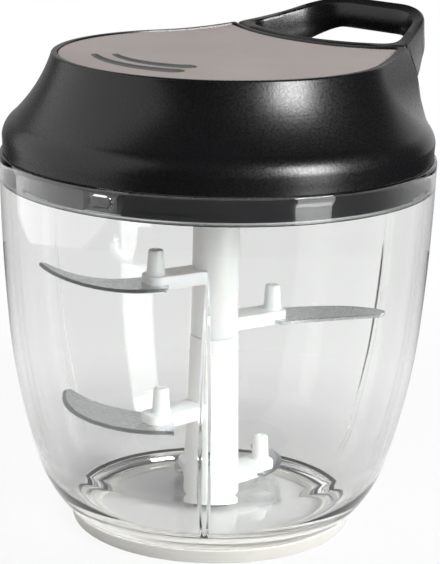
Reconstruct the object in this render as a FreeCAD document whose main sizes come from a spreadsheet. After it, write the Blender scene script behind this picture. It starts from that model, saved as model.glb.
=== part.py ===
import FreeCAD, Part
import math
import os
import Sketcher

# Pull-cord food chopper. Millimetres and degrees. Z is the axis of the bowl, Z = 0 is the
# table, and the handle is pulled out of the lid towards +X.
#
# The sheet holds one cell for each driving dimension. Heights are above the table and
# radii are from the Z axis, unless the name says otherwise.

DIMENSIONS = {
    # Bowl
    "rim_radius": 62.9, "rim_height": 110.8,
    "shoulder_radius": 60.5, "shoulder_height": 64.1,
    "belly_radius": 52.66, "belly_height": 22.7,
    "heel_radius": 42.6, "heel_height": 4.4,
    "heel_curve": 38, "belly_curve": 190, "shoulder_curve": 640,
    "bowl_wall": 2.5, "ledge_height": 103, "ledge_radius": 60.2, "recess_radius": 61.5,
    "floor_height": 5, "floor_radius": 36, "floor_underside": 2.2, "floor_curve": 24,
    "foot_rib_radius": 40, "foot_rib_height": 1.4,
    "boss_radius": 5, "boss_height": 7,
    "rib_depth": 1.2, "rib_bite": 0.7, "rib_top": 94.5, "rib_fade": 70, "rib_sweep": 4.5,
    "rib_azimuth": -19,
    "lug_bottom": 105.5, "lug_top": 109.1, "lug_sweep": 6.6, "lug_azimuth": 73.3,
    "ring_inner_radius": 34, "ring_outer_radius": 41.06, "ring_lip_radius": 42.5,
    "pin_radius": 2, "pin_bottom": 3.2, "pin_top": 24,
    # Lid seal, lid base and its bayonet
    "seal_inner_radius": 58.5, "seal_bottom": 103.05, "seal_thickness": 1,
    "lid_gap": 0.3, "flange_bottom": 104.1, "flange_inner_radius": 57,
    "disc_bottom": 105.1, "disc_top": 107.3, "hub_radius": 10, "hub_top": 110.2,
    "skirt_inner_radius": 58.2, "skirt_top": 111.1, "spigot_radius": 59.6, "spigot_top": 113,
    "groove_radius": 59.9, "groove_bottom": 105.4, "groove_top": 109.3,
    "entry_sweep": 11, "groove_sweep": 34, "notch_sweep": 12, "notch_turn": -24,
    # Lid shell
    "shell_foot_radius": 62, "shell_bulge_radius": 62.13, "shell_bulge_height": 115.7,
    "shell_neck_radius": 59.22, "shell_neck_height": 120.9,
    "shell_top_radius": 48.2, "shell_top_height": 138.8, "shell_stock_height": 142,
    "bulge_curve": 7.7, "neck_curve": 45, "shell_wall": 2.3,
    "deck_underside": 135.2, "rim_plane": 139.2, "sweep_start": 20.3, "sweep_curve": 147,
    "sweep_reach": 60, "horn_angle": 25, "horn_radius": 48, "horn_tangent": 67,
    "horn_low_height": 118, "horn_low_radius": 55, "horn_low_x": 47.3, "horn_low_y": 39.2,
    "horn_mid_height": 126, "horn_mid_radius": 54.4, "horn_mid_x": 45.2, "horn_mid_y": 37.8,
    "horn_high_height": 133, "horn_high_radius": 50.1, "horn_high_x": 44.2, "horn_high_y": 37,
    "horn_top_radius": 47.5, "horn_top_x": 42.5, "horn_top_y": 33,
    "gap_centre": 112.8, "gap_curve": 78, "gap_floor": 130,
    "hollow_end": 32.6, "hollow_step": 127.8,
    "panel_inset": 1.5, "panel_clearance": 0.15, "panel_end": 1.2, "panel_plane": 138.8,
    "panel_thickness": 1.6,
    "screw_circle": 44, "screw_azimuth": 45, "screw_radius": 1.5, "screw_boss_radius": 4,
    "screw_boss_bottom": 112, "screw_top": 122, "screw_head_radius": 2.75,
    "screw_head_height": 1.6, "screw_count": 4,
    # Handle and cord
    "handle_proud": 0.8, "handle_tip": 71.2, "handle_corner": 17, "handle_wall": 3.4,
    "handle_gap": 0.6, "handle_bar": 2.8, "handle_bottom": 131, "handle_rise_start": 48,
    "handle_rise_curve": 27, "handle_rise_reach": 19.5, "handle_end_drop": 2,
    "cord_radius": 0.8, "cord_height": 133, "cord_wind_radius": 22.5, "cord_corner": 30.6,
    "cord_bend": 8, "cord_bore_radius": 1.1,
    "eyelet_radius": 2, "eyelet_bore_radius": 1.3, "eyelet_flange_radius": 2.8,
    "eyelet_flange": 0.8,
    "knot_radius": 1.6, "knot_x": 40, "knot_room_radius": 1.8, "knot_room_start": 38.2,
    "boss_end": 43, "boss_half_width": 5, "boss_top": 137, "knot_cap_thickness": 1,
    # Mechanism in the lid
    "axle_radius": 2.5, "axle_bottom": 108, "running_gap": 0.05,
    "drum_radius": 20, "cavity_radius": 18, "reel_flange_radius": 25, "reel_bottom": 125.2,
    "reel_hub_radius": 9, "reel_web_bottom": 126.5, "reel_flange_top": 127.5,
    "cavity_floor": 128, "reel_rim_bottom": 133.9, "reel_top": 134.8,
    "winding_radius": 21.6,
    "tooth_inner_radius": 10, "tooth_outer_radius": 18, "tooth_sweep": 24, "tooth_count": 6,
    "reel_tooth_bottom": 124.3, "plate_bottom": 120.5, "plate_top": 123,
    "plate_tooth_top": 125.5,
    "arbor_radius": 4, "arbor_bottom": 128.3,
    "spring_strip": 0.4, "spring_pitch": 2.1, "spring_half_turns": 12,
    "spring_bottom": 128.5, "spring_top": 134.5,
    "hex_half_width": 3.8, "hex_bottom": 111.5, "hex_top": 124, "shaft_bore_bottom": 107.5,
    "shaft_radius": 5, "clip_groove_radius": 4.2, "clip_bottom": 110.3, "clip_top": 111.3,
    "clip_radius": 8, "clip_gap_sweep": 50,
    "cup_radius": 10.8, "cup_bore_radius": 7.2, "cup_bottom": 95, "cup_ceiling": 102.4,
    "cup_top": 103.9, "dog_inner_radius": 4.9, "dog_bottom": 96.2, "dog_sweep": 30,
    "bush_flange_radius": 9.5, "bush_radius": 7,
    "coil_radius": 6.6, "coil_wire_radius": 0.5, "coil_turns": 4,
    # Blade unit
    "lower_radius": 8.3, "lower_bottom": 6.9, "lower_bore_radius": 5.5, "lower_bore_top": 8,
    "lower_top_radius": 7.1,
    "pin_bore_radius": 2.05, "pin_bore_top": 24.1, "seam_height": 56,
    "tenon_radius": 5, "tenon_top": 61, "tenon_room_top": 61.5,
    "upper_radius": 6.9, "column_top": 102, "core_radius": 4.6, "lobe_bottom": 95.8,
    "lobe_sweep": 30, "lobe_count": 3,
    "arm_half_width": 4.4, "arm_corner": 3, "arm_thickness": 4.1,
    "peg_circle": 20.5, "peg_radius": 2.6, "peg_height": 7.3, "peg_core_radius": 1.5,
    "blade_thickness": 1, "blade_seat": 1.1, "bend_start": 28, "bend_curve": 76,
    "bend_reach": 30,
    "blade_root": 12, "blade_root_half_width": 3.5, "blade_shoulder": 18,
    "long_heel_x": 20, "long_heel_y": -7, "long_cheek_x": 22, "long_cheek_y": 8.5,
    "long_inner_tip_x": 43.5, "long_inner_tip_y": -23.5, "long_inner_curve": 26,
    "long_outer_tip_x": 46.8, "long_outer_tip_y": -21.2, "long_outer_curve": 27,
    "hook_heel_x": 21, "hook_heel_y": -10, "hook_cheek_x": 25, "hook_cheek_y": 11,
    "hook_inner_tip_x": 26.5, "hook_inner_tip_y": -34.5, "hook_inner_curve": 58,
    "hook_outer_tip_x": 31.5, "hook_outer_tip_y": -32.5, "hook_outer_curve": 28,
    "floor_blade_scale": 0.76,
    "arm_1_azimuth": 166, "arm_1_bottom": 72.8, "arm_1_end": 23.8,
    "arm_2_azimuth": 346, "arm_2_bottom": 57.2, "arm_2_end": 24,
    "arm_3_azimuth": 176, "arm_3_bottom": 32.2, "arm_3_end": 26,
    "arm_4_azimuth": 356, "arm_4_bottom": 8.5, "arm_4_end": 23.6,
    "arm_5_azimuth": 60, "arm_5_bottom": 6.5, "arm_5_end": 23.6,
}

# number of the arm: its carrier, blade shape, side the blade sweeps to, way its tip bends
ARMS = {
    1: ("upper", "long", 1, 1),
    2: ("upper", "long", 1, 1),
    3: ("lower", "hook", 1, 1),
    4: ("lower", "floor", -1, -1),
    5: ("lower", "floor", 1, 1),
}

doc = FreeCAD.newDocument("chopper")
sheet = doc.addObject("Spreadsheet::Sheet", "Dims")
for row, (alias, number) in enumerate(DIMENSIONS.items(), start=1):
    sheet.set(f"A{row}", alias)
    sheet.set(f"B{row}", str(number))
    sheet.setAlias(f"B{row}", alias)
doc.recompute()


class Size:
    """A number that remembers the sheet cells it is worked out from."""

    def __init__(self, value, text=None):
        self.value = float(value)
        self.text = text or f"{self.value:.9g}"

    def __add__(self, other):
        return combined(self, "+", other, self.value + sized(other).value)

    def __sub__(self, other):
        return combined(self, "-", other, self.value - sized(other).value)

    def __mul__(self, other):
        return combined(self, "*", other, self.value * sized(other).value)

    def __truediv__(self, other):
        return combined(self, "/", other, self.value / sized(other).value)

    def __rsub__(self, other):
        return sized(other) - self

    def __neg__(self):
        return self * -1


def sized(number):
    return number if isinstance(number, Size) else Size(number)


def combined(left, sign, right, value):
    return Size(value, f"({left.text} {sign} ({sized(right).text}))")


def root(size):
    return Size(math.sqrt(size.value), f"sqrt({size.text})")


def sine(angle):
    return Size(math.sin(math.radians(angle.value)), f"sin({angle.text} * 1 deg)")


def cosine(angle):
    return Size(math.cos(math.radians(angle.value)), f"cos({angle.text} * 1 deg)")


class Cells:
    """Every driving dimension by its name, as a Size bound to its cell."""

    def __getattr__(self, alias):
        return Size(DIMENSIONS[alias], f"Dims.{alias}")


dim = Cells()


# ---- Sketches -------------------------------------------------------------------------

def bind(thing, path, size):
    thing.setExpression(path, sized(size).text)


def new_body(label):
    body = doc.addObject("PartDesign::Body", label)
    body.Label = label
    return body


def sketch_on(body, name, role, lift=0, turn=0):
    """A sketch on an origin plane, moved along its normal and turned about the Z axis."""
    sketch = body.newObject("Sketcher::SketchObject", name)
    plane = next(item for item in body.Origin.OriginFeatures if item.Role == role)
    sketch.AttachmentSupport = [(plane, "")]
    sketch.MapMode = "FlatFace"
    upright = FreeCAD.Vector(0, 0, 1) if role == "XY_Plane" else FreeCAD.Vector(0, 1, 0)
    spin = FreeCAD.Rotation(upright, sized(turn).value)
    sketch.AttachmentOffset = FreeCAD.Placement(FreeCAD.Vector(0, 0, sized(lift).value), spin)
    bind(sketch, "AttachmentOffset.Base.z", lift)
    if sized(turn).value:
        bind(sketch, "AttachmentOffset.Rotation.Angle", turn)
    return sketch


def fix(sketch, point, across, up):
    """Hold a point of the sketch at two coordinates."""
    for kind, axis, size in (("DistanceX", -2, sized(across)), ("DistanceY", -1, sized(up))):
        if abs(size.value) < 1e-9:
            sketch.addConstraint(Sketcher.Constraint("PointOnObject", *point, axis))
            continue
        ends = (-1, 1, *point) if size.value > 0 else (*point, -1, 1)
        length = size if size.value > 0 else -size
        row = sketch.addConstraint(Sketcher.Constraint(kind, *ends, length.value))
        bind(sketch, f"Constraints[{row}]", length)


def arc_edge(start, end, radius):
    """The lesser arc between two points, and whether it runs anticlockwise."""
    chord = end - start
    left = FreeCAD.Vector(-chord.y, chord.x, 0).normalize()
    rise = math.sqrt(max(radius ** 2 - chord.Length ** 2 / 4, 0))
    centre = (start + end) * 0.5 + left * math.copysign(rise, radius)
    first, last = (start, end) if radius > 0 else (end, start)
    from_angle = math.atan2(first.y - centre.y, first.x - centre.x)
    to_angle = math.atan2(last.y - centre.y, last.x - centre.x)
    if to_angle < from_angle:
        to_angle += 2 * math.pi
    circle = Part.Circle(centre, FreeCAD.Vector(0, 0, 1), abs(radius))
    return Part.ArcOfCircle(circle, from_angle, to_angle), radius > 0


def draw(sketch, corners, closed=True):
    """Draw an outline through corners (across, up) or (across, up, radius).

    A radius makes the edge that leaves the corner an arc. Positive bulges to the right of
    the way that the outline runs, and negative to the left.
    """
    points = [FreeCAD.Vector(sized(c[0]).value, sized(c[1]).value, 0) for c in corners]
    edges = []
    for index in range(len(corners) if closed else len(corners) - 1):
        start = points[index]
        end = points[(index + 1) % len(corners)]
        corner = corners[index]
        if len(corner) == 2:
            edges.append((sketch.addGeometry(Part.LineSegment(start, end)), 1, 2))
            continue
        radius = sized(corner[2])
        arc, forward = arc_edge(start, end, radius.value)
        edge = sketch.addGeometry(arc)
        edges.append((edge, 1, 2) if forward else (edge, 2, 1))
        size = radius if forward else -radius
        row = sketch.addConstraint(Sketcher.Constraint("Radius", edge, size.value))
        bind(sketch, f"Constraints[{row}]", size)
    pairs = zip(edges, edges[1:] + edges[:1] if closed else edges[1:])
    for (edge, _, tail), (following, head, _) in pairs:
        sketch.addConstraint(Sketcher.Constraint("Coincident", edge, tail, following, head))
    for (edge, head, _), corner in zip(edges, corners):
        fix(sketch, (edge, head), corner[0], corner[1])
    if not closed:
        fix(sketch, (edges[-1][0], edges[-1][2]), corners[-1][0], corners[-1][1])


def draw_circle(sketch, radius, across=0, up=0):
    centre = FreeCAD.Vector(sized(across).value, sized(up).value, 0)
    circle = Part.Circle(centre, FreeCAD.Vector(0, 0, 1), sized(radius).value)
    ring = sketch.addGeometry(circle)
    row = sketch.addConstraint(Sketcher.Constraint("Radius", ring, sized(radius).value))
    bind(sketch, f"Constraints[{row}]", radius)
    fix(sketch, (ring, 3), across, up)


def hexagon(half_width):
    """Corners of a hexagon from half its width across the flats."""
    corner_radius = half_width / math.cos(math.pi / 6)
    angles = [math.radians(60 * side) for side in range(6)]
    return [(corner_radius * math.cos(angle), corner_radius * math.sin(angle)) for angle in angles]


def box_outline(left, right, bottom, top):
    return [(left, bottom), (right, bottom), (right, top), (left, top)]


# ---- Features -------------------------------------------------------------------------

def turned(label, corners):
    """A body turned about the Z axis from an outline of (radius, height) corners."""
    body = new_body(label)
    sketch = sketch_on(body, label + "_profile", "XZ_Plane")
    draw(sketch, corners)
    feature = body.newObject("PartDesign::Revolution", label + "_turned")
    feature.Profile = sketch
    feature.ReferenceAxis = (sketch, ["V_Axis"])
    feature.Angle = 360
    return body


def sector(body, kind, name, corners, azimuth, sweep, count=1):
    """Add or cut an outline turned through a few degrees, repeated round the Z axis."""
    sketch = sketch_on(body, name + "_profile", "XZ_Plane", turn=azimuth)
    draw(sketch, corners)
    feature = body.newObject("PartDesign::" + kind, name)
    feature.Profile = sketch
    feature.ReferenceAxis = (sketch, ["V_Axis"])
    feature.Midplane = True
    bind(feature, "Angle", sweep)
    repeat(body, feature, (sketch, ["V_Axis"]), count)


def repeat(body, feature, axis, count):
    if sized(count).value < 2:
        return
    pattern = body.newObject("PartDesign::PolarPattern", feature.Name + "_pattern")
    pattern.Originals = [feature]
    pattern.Axis = axis
    pattern.Angle = 360
    bind(pattern, "Occurrences", count)
    body.Tip = pattern


def pad(body, sketch, height, midplane=False):
    feature = body.newObject("PartDesign::Pad", sketch.Name + "_pad")
    feature.Profile = sketch
    feature.Midplane = midplane
    bind(feature, "Length", height)
    return feature


def prism(label, corners, bottom, height, turn=0):
    """A body with upright walls above an outline in plan."""
    body = new_body(label)
    sketch = sketch_on(body, label + "_plan", "XY_Plane", bottom, turn)
    draw(sketch, corners)
    pad(body, sketch, height)
    return body


def side_prism(label, corners, width):
    """A body of even width along Y from an outline in side view."""
    body = new_body(label)
    sketch = sketch_on(body, label + "_side", "XZ_Plane")
    draw(sketch, corners)
    pad(body, sketch, width, midplane=True)
    return body


def cylinder(label, radius, bottom, top, across=0, back=0):
    solid = doc.addObject("Part::Cylinder", label)
    solid.Label = label
    bind(solid, "Radius", radius)
    bind(solid, "Height", sized(top) - bottom)
    bind(solid, "Placement.Base.x", across)
    bind(solid, "Placement.Base.y", back)
    bind(solid, "Placement.Base.z", bottom)
    return solid


def cylinder_along_x(label, radius, start, end):
    """A cylinder on the line of the cord."""
    solid = doc.addObject("Part::Cylinder", label)
    solid.Label = label
    solid.Placement = FreeCAD.Placement(
        FreeCAD.Vector(), FreeCAD.Rotation(FreeCAD.Vector(0, 1, 0), 90))
    bind(solid, "Radius", radius)
    bind(solid, "Height", sized(end) - start)
    bind(solid, "Placement.Base.x", start)
    bind(solid, "Placement.Base.z", dim.cord_height)
    return solid


def ring_of(label, maker, count, circle, azimuth):
    """Solids spaced round the Z axis, each made by maker(label, x, y)."""
    solids = []
    for index in range(int(count.value)):
        angle = azimuth + index * 360 / int(count.value)
        solids.append(maker(f"{label}_{index + 1}", circle * cosine(angle), circle * sine(angle)))
    return solids


def cut(label, base, *tools):
    result = doc.addObject("Part::Cut", label)
    result.Label = label
    result.Base = base
    result.Tool = tools[0] if len(tools) == 1 else fuse(label + "_tools", *tools)
    return result


def fuse(label, *solids):
    result = doc.addObject("Part::MultiFuse", label)
    result.Label = label
    result.Shapes = list(solids)
    return result


def common(label, base, tool):
    result = doc.addObject("Part::Common", label)
    result.Label = label
    result.Base = base
    result.Tool = tool
    return result


def group(label, solids):
    """Identical loose pieces that share one node."""
    result = doc.addObject("Part::Compound", label)
    result.Label = label
    result.Links = solids
    return result


# ---- Bowl and foot --------------------------------------------------------------------

def make_bowl():
    inner_shoulder = dim.shoulder_radius - dim.bowl_wall
    inner_belly = dim.belly_radius - dim.bowl_wall + 0.14
    inner_belly_height = dim.belly_height + 0.9
    inner_curve = dim.belly_curve - dim.bowl_wall
    bowl = turned("bowl", [
        (0, dim.floor_underside),
        (dim.floor_radius, dim.floor_underside),
        (dim.floor_radius, dim.foot_rib_height),
        (dim.foot_rib_radius, dim.foot_rib_height),
        (dim.foot_rib_radius, dim.heel_height),
        (dim.heel_radius, dim.heel_height, dim.heel_curve),
        (dim.belly_radius, dim.belly_height, dim.belly_curve),
        (dim.shoulder_radius, dim.shoulder_height, dim.shoulder_curve),
        (dim.rim_radius, dim.rim_height),
        (dim.recess_radius, dim.rim_height),
        (dim.recess_radius, dim.ledge_height),
        (dim.ledge_radius, dim.ledge_height, -dim.shoulder_curve),
        (inner_shoulder, dim.shoulder_height, -inner_curve),
        (inner_belly, inner_belly_height, -dim.floor_curve),
        (dim.floor_radius, dim.floor_height),
        (dim.boss_radius, dim.floor_height),
        (dim.boss_radius, dim.boss_height),
        (dim.pin_radius, dim.boss_height),
        (dim.pin_radius, dim.pin_bottom),
        (0, dim.pin_bottom),
    ])
    # three ribs that throw the food back under the blades
    face_foot = dim.floor_radius + dim.rib_bite
    sector(bowl, "Revolution", "rib", [
        (face_foot, dim.floor_height - dim.rib_bite, dim.floor_curve),
        (inner_belly + dim.rib_bite, inner_belly_height, inner_curve),
        (inner_shoulder + dim.rib_bite, dim.shoulder_height),
        (dim.ledge_radius + 0.2, dim.rib_top),
        (inner_shoulder - dim.rib_depth + 0.4, dim.rib_fade, -inner_curve),
        (inner_belly - dim.rib_depth, inner_belly_height, -dim.floor_curve),
        (dim.floor_radius, dim.floor_height),
    ], dim.rib_azimuth, dim.rib_sweep, 3)
    # three bayonet lugs inside the rim
    sector(bowl, "Revolution", "lug", box_outline(
        dim.ledge_radius, dim.recess_radius + 0.5, dim.lug_bottom, dim.lug_top,
    ), dim.lug_azimuth, dim.lug_sweep, 3)
    return bowl


def make_foot_ring():
    return turned("foot_ring", [
        (dim.ring_inner_radius, 0),
        (dim.ring_outer_radius, 0),
        (dim.ring_lip_radius, dim.heel_height),
        (dim.foot_rib_radius, dim.heel_height),
        (dim.foot_rib_radius, dim.foot_rib_height),
        (dim.floor_radius, dim.foot_rib_height),
        (dim.floor_radius, dim.floor_underside),
        (dim.ring_inner_radius, dim.floor_underside),
    ])


# ---- Lid ------------------------------------------------------------------------------

def make_seal_ring():
    return turned("seal_ring", box_outline(
        dim.seal_inner_radius, dim.recess_radius - dim.lid_gap,
        dim.seal_bottom, dim.seal_bottom + dim.seal_thickness))


def screw_post(bottom, top, radius):
    return lambda label, x, y: cylinder(label, radius, bottom, top, x, y)


def screw_ring(label, bottom, top, radius):
    maker = screw_post(bottom, top, radius)
    return ring_of(label, maker, dim.screw_count, dim.screw_circle, dim.screw_azimuth)


def make_lid_base():
    skirt_radius = dim.recess_radius - dim.lid_gap
    body = turned("lid_base_body", [
        (dim.bush_radius, dim.disc_bottom),
        (dim.flange_inner_radius, dim.disc_bottom),
        (dim.flange_inner_radius, dim.flange_bottom),
        (skirt_radius, dim.flange_bottom),
        (skirt_radius, dim.skirt_top),
        (dim.spigot_radius, dim.skirt_top),
        (dim.spigot_radius, dim.spigot_top),
        (dim.skirt_inner_radius, dim.spigot_top),
        (dim.skirt_inner_radius, dim.disc_top),
        (dim.hub_radius, dim.disc_top),
        (dim.hub_radius, dim.hub_top),
        (dim.bush_radius, dim.hub_top),
    ])
    outside = dim.recess_radius
    below = dim.flange_bottom - 0.5
    entry = box_outline(dim.groove_radius, outside, below, dim.groove_top)
    groove = box_outline(dim.groove_radius, outside, dim.groove_bottom, dim.groove_top)
    notch = box_outline(dim.groove_radius, outside, below, dim.groove_bottom)
    groove_azimuth = dim.lug_azimuth + (dim.groove_sweep - dim.entry_sweep + 1) / 2
    sector(body, "Groove", "entry", entry, dim.lug_azimuth, dim.entry_sweep, 3)
    sector(body, "Groove", "track", groove, groove_azimuth, dim.groove_sweep, 3)
    sector(body, "Groove", "notch", notch, dim.lug_azimuth + dim.notch_turn, dim.notch_sweep, 3)
    posts = screw_ring("post", dim.disc_top, dim.screw_boss_bottom, dim.screw_boss_radius)
    holes = screw_ring("post_hole", dim.disc_bottom, dim.screw_boss_bottom, dim.screw_radius)
    return cut("lid_base", fuse("lid_base_posts", body, *posts), *holes)


def make_cover_screws():
    head_bottom = dim.disc_bottom - dim.screw_head_height
    shanks = screw_ring("shank", dim.disc_bottom, dim.screw_top, dim.screw_radius)
    heads = screw_ring("head", head_bottom, dim.disc_bottom, dim.screw_head_radius)
    screws = [fuse(f"screw_{n}", *pair) for n, pair in enumerate(zip(shanks, heads), start=1)]
    return group("cover_screws", screws)


def above_sweep(label, plane):
    """Everything above the lid's top, which is flat and then sweeps up along the handle."""
    end = dim.sweep_start + dim.sweep_reach
    rise = dim.sweep_curve - root(dim.sweep_curve * dim.sweep_curve
                                  - dim.sweep_reach * dim.sweep_reach)
    return side_prism(label, [
        (-70, plane),
        (dim.sweep_start, plane, dim.sweep_curve),
        (end, plane + rise),
        (end, plane + 30),
        (-70, plane + 30),
    ], 160)


def flank_width(distance, across):
    """Half width of the horn at X = across, for flanks at a distance from the Z axis."""
    return (distance - sized(across) * sine(dim.horn_angle)) / cosine(dim.horn_angle)


def make_horn():
    """The two flanks of the lid that reach out to the handle."""
    body = new_body("horn")
    sections = []
    for name in ("low", "mid", "high", "top"):
        level = dim.shell_stock_height if name == "top" else getattr(dim, f"horn_{name}_height")
        radius = getattr(dim, f"horn_{name}_radius")
        corner_x = getattr(dim, f"horn_{name}_x")
        corner_y = getattr(dim, f"horn_{name}_y")
        tangent_x = radius * cosine(dim.horn_tangent)
        tangent_y = radius * sine(dim.horn_tangent)
        sketch = sketch_on(body, f"horn_{name}", "XY_Plane", level)
        draw(sketch, [
            (0, -radius * 0.8), (tangent_x, -tangent_y), (corner_x, -corner_y),
            (corner_x, corner_y), (tangent_x, tangent_y), (0, radius * 0.8),
        ])
        sections.append(sketch)
    loft = body.newObject("PartDesign::AdditiveLoft", "horn_loft")
    loft.Profile = sections[0]
    loft.Sections = sections[1:]
    loft.Ruled = True
    return body


def top_plan(label, inset, bottom):
    """The outline of the lid's top in plan: a circle with two flanks, moved inwards."""
    radius = dim.horn_radius - inset
    tangent_x = radius * sine(dim.horn_angle)
    tangent_y = radius * cosine(dim.horn_angle)
    end = 50
    return prism(label, [
        (-radius, 0, radius),
        (tangent_x, -tangent_y),
        (end, -flank_width(radius, end)),
        (end, flank_width(radius, end)),
        (tangent_x, tangent_y, radius),
    ], bottom, 20)


def gap_cylinder(label, widening, bottom):
    """The round edge between lid and handle, whose centre lies beyond the handle."""
    return cylinder(label, dim.gap_curve + widening, bottom, bottom + 35, dim.gap_centre)


def make_panel_blank(label, clearance):
    """The grip panel, or its seat with some clearance, before its top is shaped."""
    plan = top_plan(label + "_plan", dim.panel_inset - clearance, dim.gap_floor)
    edge = gap_cylinder(label + "_edge", dim.panel_end - clearance, dim.gap_floor - 1)
    floor = above_sweep(label + "_floor", dim.panel_plane - dim.panel_thickness)
    return common(label, cut(label + "_short", plan, edge), floor)


def make_lid_shell(above_rim):
    outer = turned("shell_outer", [
        (0, dim.skirt_top),
        (dim.shell_foot_radius, dim.skirt_top),
        (dim.shell_bulge_radius, dim.shell_bulge_height, dim.bulge_curve),
        (dim.shell_neck_radius, dim.shell_neck_height, -dim.neck_curve),
        (dim.shell_top_radius, dim.shell_top_height),
        (dim.horn_radius, dim.shell_stock_height),
        (0, dim.shell_stock_height),
    ])
    hollow = turned("shell_hollow", [
        (0, dim.skirt_top - 1),
        (dim.shell_foot_radius - dim.shell_wall, dim.skirt_top - 1),
        (dim.shell_foot_radius - dim.shell_wall, dim.shell_bulge_height, dim.bulge_curve),
        (dim.shell_neck_radius - dim.shell_wall, dim.shell_neck_height, -dim.neck_curve),
        (dim.shell_top_radius - 1.2, dim.deck_underside),
        (0, dim.deck_underside),
    ])
    limit = side_prism("shell_limit", box_outline(
        dim.hollow_end, 80, dim.hollow_step, dim.shell_stock_height), 160)
    cavity = cut("shell_cavity", hollow, limit)
    recess = gap_cylinder("shell_recess", 0, dim.gap_floor)
    seat = make_panel_blank("panel_seat", dim.panel_clearance)
    blank = fuse("shell_blank", outer, make_horn())
    shaped = cut("shell_shaped", blank, above_rim, recess, seat, cavity)
    bosses = screw_ring("screw_boss", dim.screw_boss_bottom, dim.deck_underside + 0.5,
                        dim.screw_boss_radius)
    holes = screw_ring("boss_hole", dim.screw_boss_bottom - 1, dim.screw_top, dim.screw_radius)
    axle_hole = cylinder("axle_hole", dim.axle_radius, dim.deck_underside - 1, dim.rim_plane)
    cord_hole = cylinder_along_x("cord_hole", dim.eyelet_radius, dim.hollow_end - 1, 36)
    return cut("lid_shell", fuse("shell_bossed", shaped, *bosses), axle_hole, cord_hole, *holes)


def make_grip_panel():
    blank = make_panel_blank("panel_blank", 0)
    return cut("grip_panel", blank, above_sweep("panel_above", dim.panel_plane))


# ---- Handle and cord ------------------------------------------------------------------

def handle_plan(label, inset, near_inset):
    """The handle's outline in plan, moved inwards by inset, and cut off along the gap."""
    distance = dim.horn_radius + dim.handle_proud - inset
    tip = dim.handle_tip + dim.handle_proud - inset
    corner = dim.handle_corner + dim.handle_proud - inset
    half_turn = (90 - dim.horn_angle) / 2
    setback = corner * sine(half_turn) / cosine(half_turn)
    meeting = flank_width(distance, tip)
    side_x = tip - setback * cosine(dim.horn_angle)
    side_y = meeting + setback * sine(dim.horn_angle)
    near = 30
    plan = prism(label + "_plan", [
        (near, -flank_width(distance, near)),
        (side_x, -side_y, corner),
        (tip, -(meeting - setback)),
        (tip, meeting - setback, corner),
        (side_x, side_y),
        (near, flank_width(distance, near)),
    ], dim.handle_bottom - 2, 25)
    return common(label, plan, gap_cylinder(label + "_edge", -near_inset, dim.gap_floor - 2))


def make_handle(above_rim):
    frame = cut("handle_frame",
                handle_plan("handle_outside", 0, dim.handle_gap),
                handle_plan("handle_hole", dim.handle_wall, dim.handle_gap + dim.handle_bar))
    rise_end = dim.handle_rise_start + dim.handle_rise_reach
    rise = dim.handle_rise_curve - root(dim.handle_rise_curve * dim.handle_rise_curve
                                        - dim.handle_rise_reach * dim.handle_rise_reach)
    below = side_prism("handle_below", [
        (25, dim.gap_floor - 5),
        (80, dim.gap_floor - 5),
        (80, dim.handle_bottom + rise + dim.handle_end_drop),
        (rise_end, dim.handle_bottom + rise, -dim.handle_rise_curve),
        (dim.handle_rise_start, dim.handle_bottom),
        (25, dim.handle_bottom),
    ], 160)
    swept = cut("handle_swept", frame, above_rim, below)
    boss = prism("knot_boss", box_outline(
        dim.knot_room_start - 1, dim.boss_end, -dim.boss_half_width, dim.boss_half_width,
    ), dim.handle_bottom, dim.boss_top - dim.handle_bottom)
    room = cylinder_along_x("knot_room", dim.knot_room_radius, dim.knot_room_start,
                            dim.boss_end + 1)
    bore = cylinder_along_x("handle_bore", dim.cord_bore_radius, 34, dim.knot_room_start + 0.5)
    return cut("handle", fuse("handle_bossed", swept, boss), room, bore)


def make_cord_knot():
    ball = doc.addObject("Part::Sphere", "knot_ball")
    bind(ball, "Radius", dim.knot_radius)
    bind(ball, "Placement.Base.x", dim.knot_x)
    bind(ball, "Placement.Base.z", dim.cord_height)
    socket = cylinder_along_x("knot_socket", dim.cord_radius, dim.knot_x - 3, dim.knot_x - 0.6)
    return cut("cord_knot", ball, socket)


def make_knot_cap():
    return cylinder_along_x("knot_cap", dim.knot_room_radius,
                            dim.boss_end - dim.knot_cap_thickness, dim.boss_end)


def make_pull_cord():
    """The cord at rest, from the side of the winding through the eyelet to its knot."""
    lead = root(dim.cord_corner * dim.cord_corner
                - dim.cord_wind_radius * dim.cord_wind_radius)
    turn_sine = dim.cord_wind_radius / dim.cord_corner
    turn_cosine = lead / dim.cord_corner
    setback = dim.cord_bend * turn_sine / (turn_cosine + 1)
    end_x = dim.knot_x - 0.6
    body = new_body("pull_cord")
    route = sketch_on(body, "cord_route", "XY_Plane", dim.cord_height)
    draw(route, [
        (end_x, 0),
        (dim.cord_corner + setback, 0, dim.cord_bend),
        (dim.cord_corner - setback * turn_cosine, -setback * turn_sine),
        (dim.cord_corner - lead * turn_cosine, -lead * turn_sine),
    ], closed=False)
    section = sketch_on(body, "cord_section", "YZ_Plane", end_x)
    draw_circle(section, dim.cord_radius, 0, dim.cord_height)
    pipe = body.newObject("PartDesign::AdditivePipe", "cord_pipe")
    pipe.Profile = section
    pipe.Spine = (route, [])
    return body


def make_cord_eyelet():
    start = dim.hollow_end - dim.eyelet_flange
    tube = cylinder_along_x("eyelet_tube", dim.eyelet_radius, start,
                            dim.gap_centre - dim.gap_curve - 0.1)
    flange = cylinder_along_x("eyelet_flange", dim.eyelet_flange_radius, start, dim.hollow_end)
    # trimmed so that the flange stays below the deck
    room = side_prism("eyelet_room", box_outline(30, 36, 128, dim.deck_underside), 20)
    trimmed = common("eyelet_trimmed", flange, room)
    bore = cylinder_along_x("eyelet_bore", dim.eyelet_bore_radius, 30, 36)
    return cut("cord_eyelet", fuse("eyelet_blank", tube, trimmed), bore)


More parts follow.
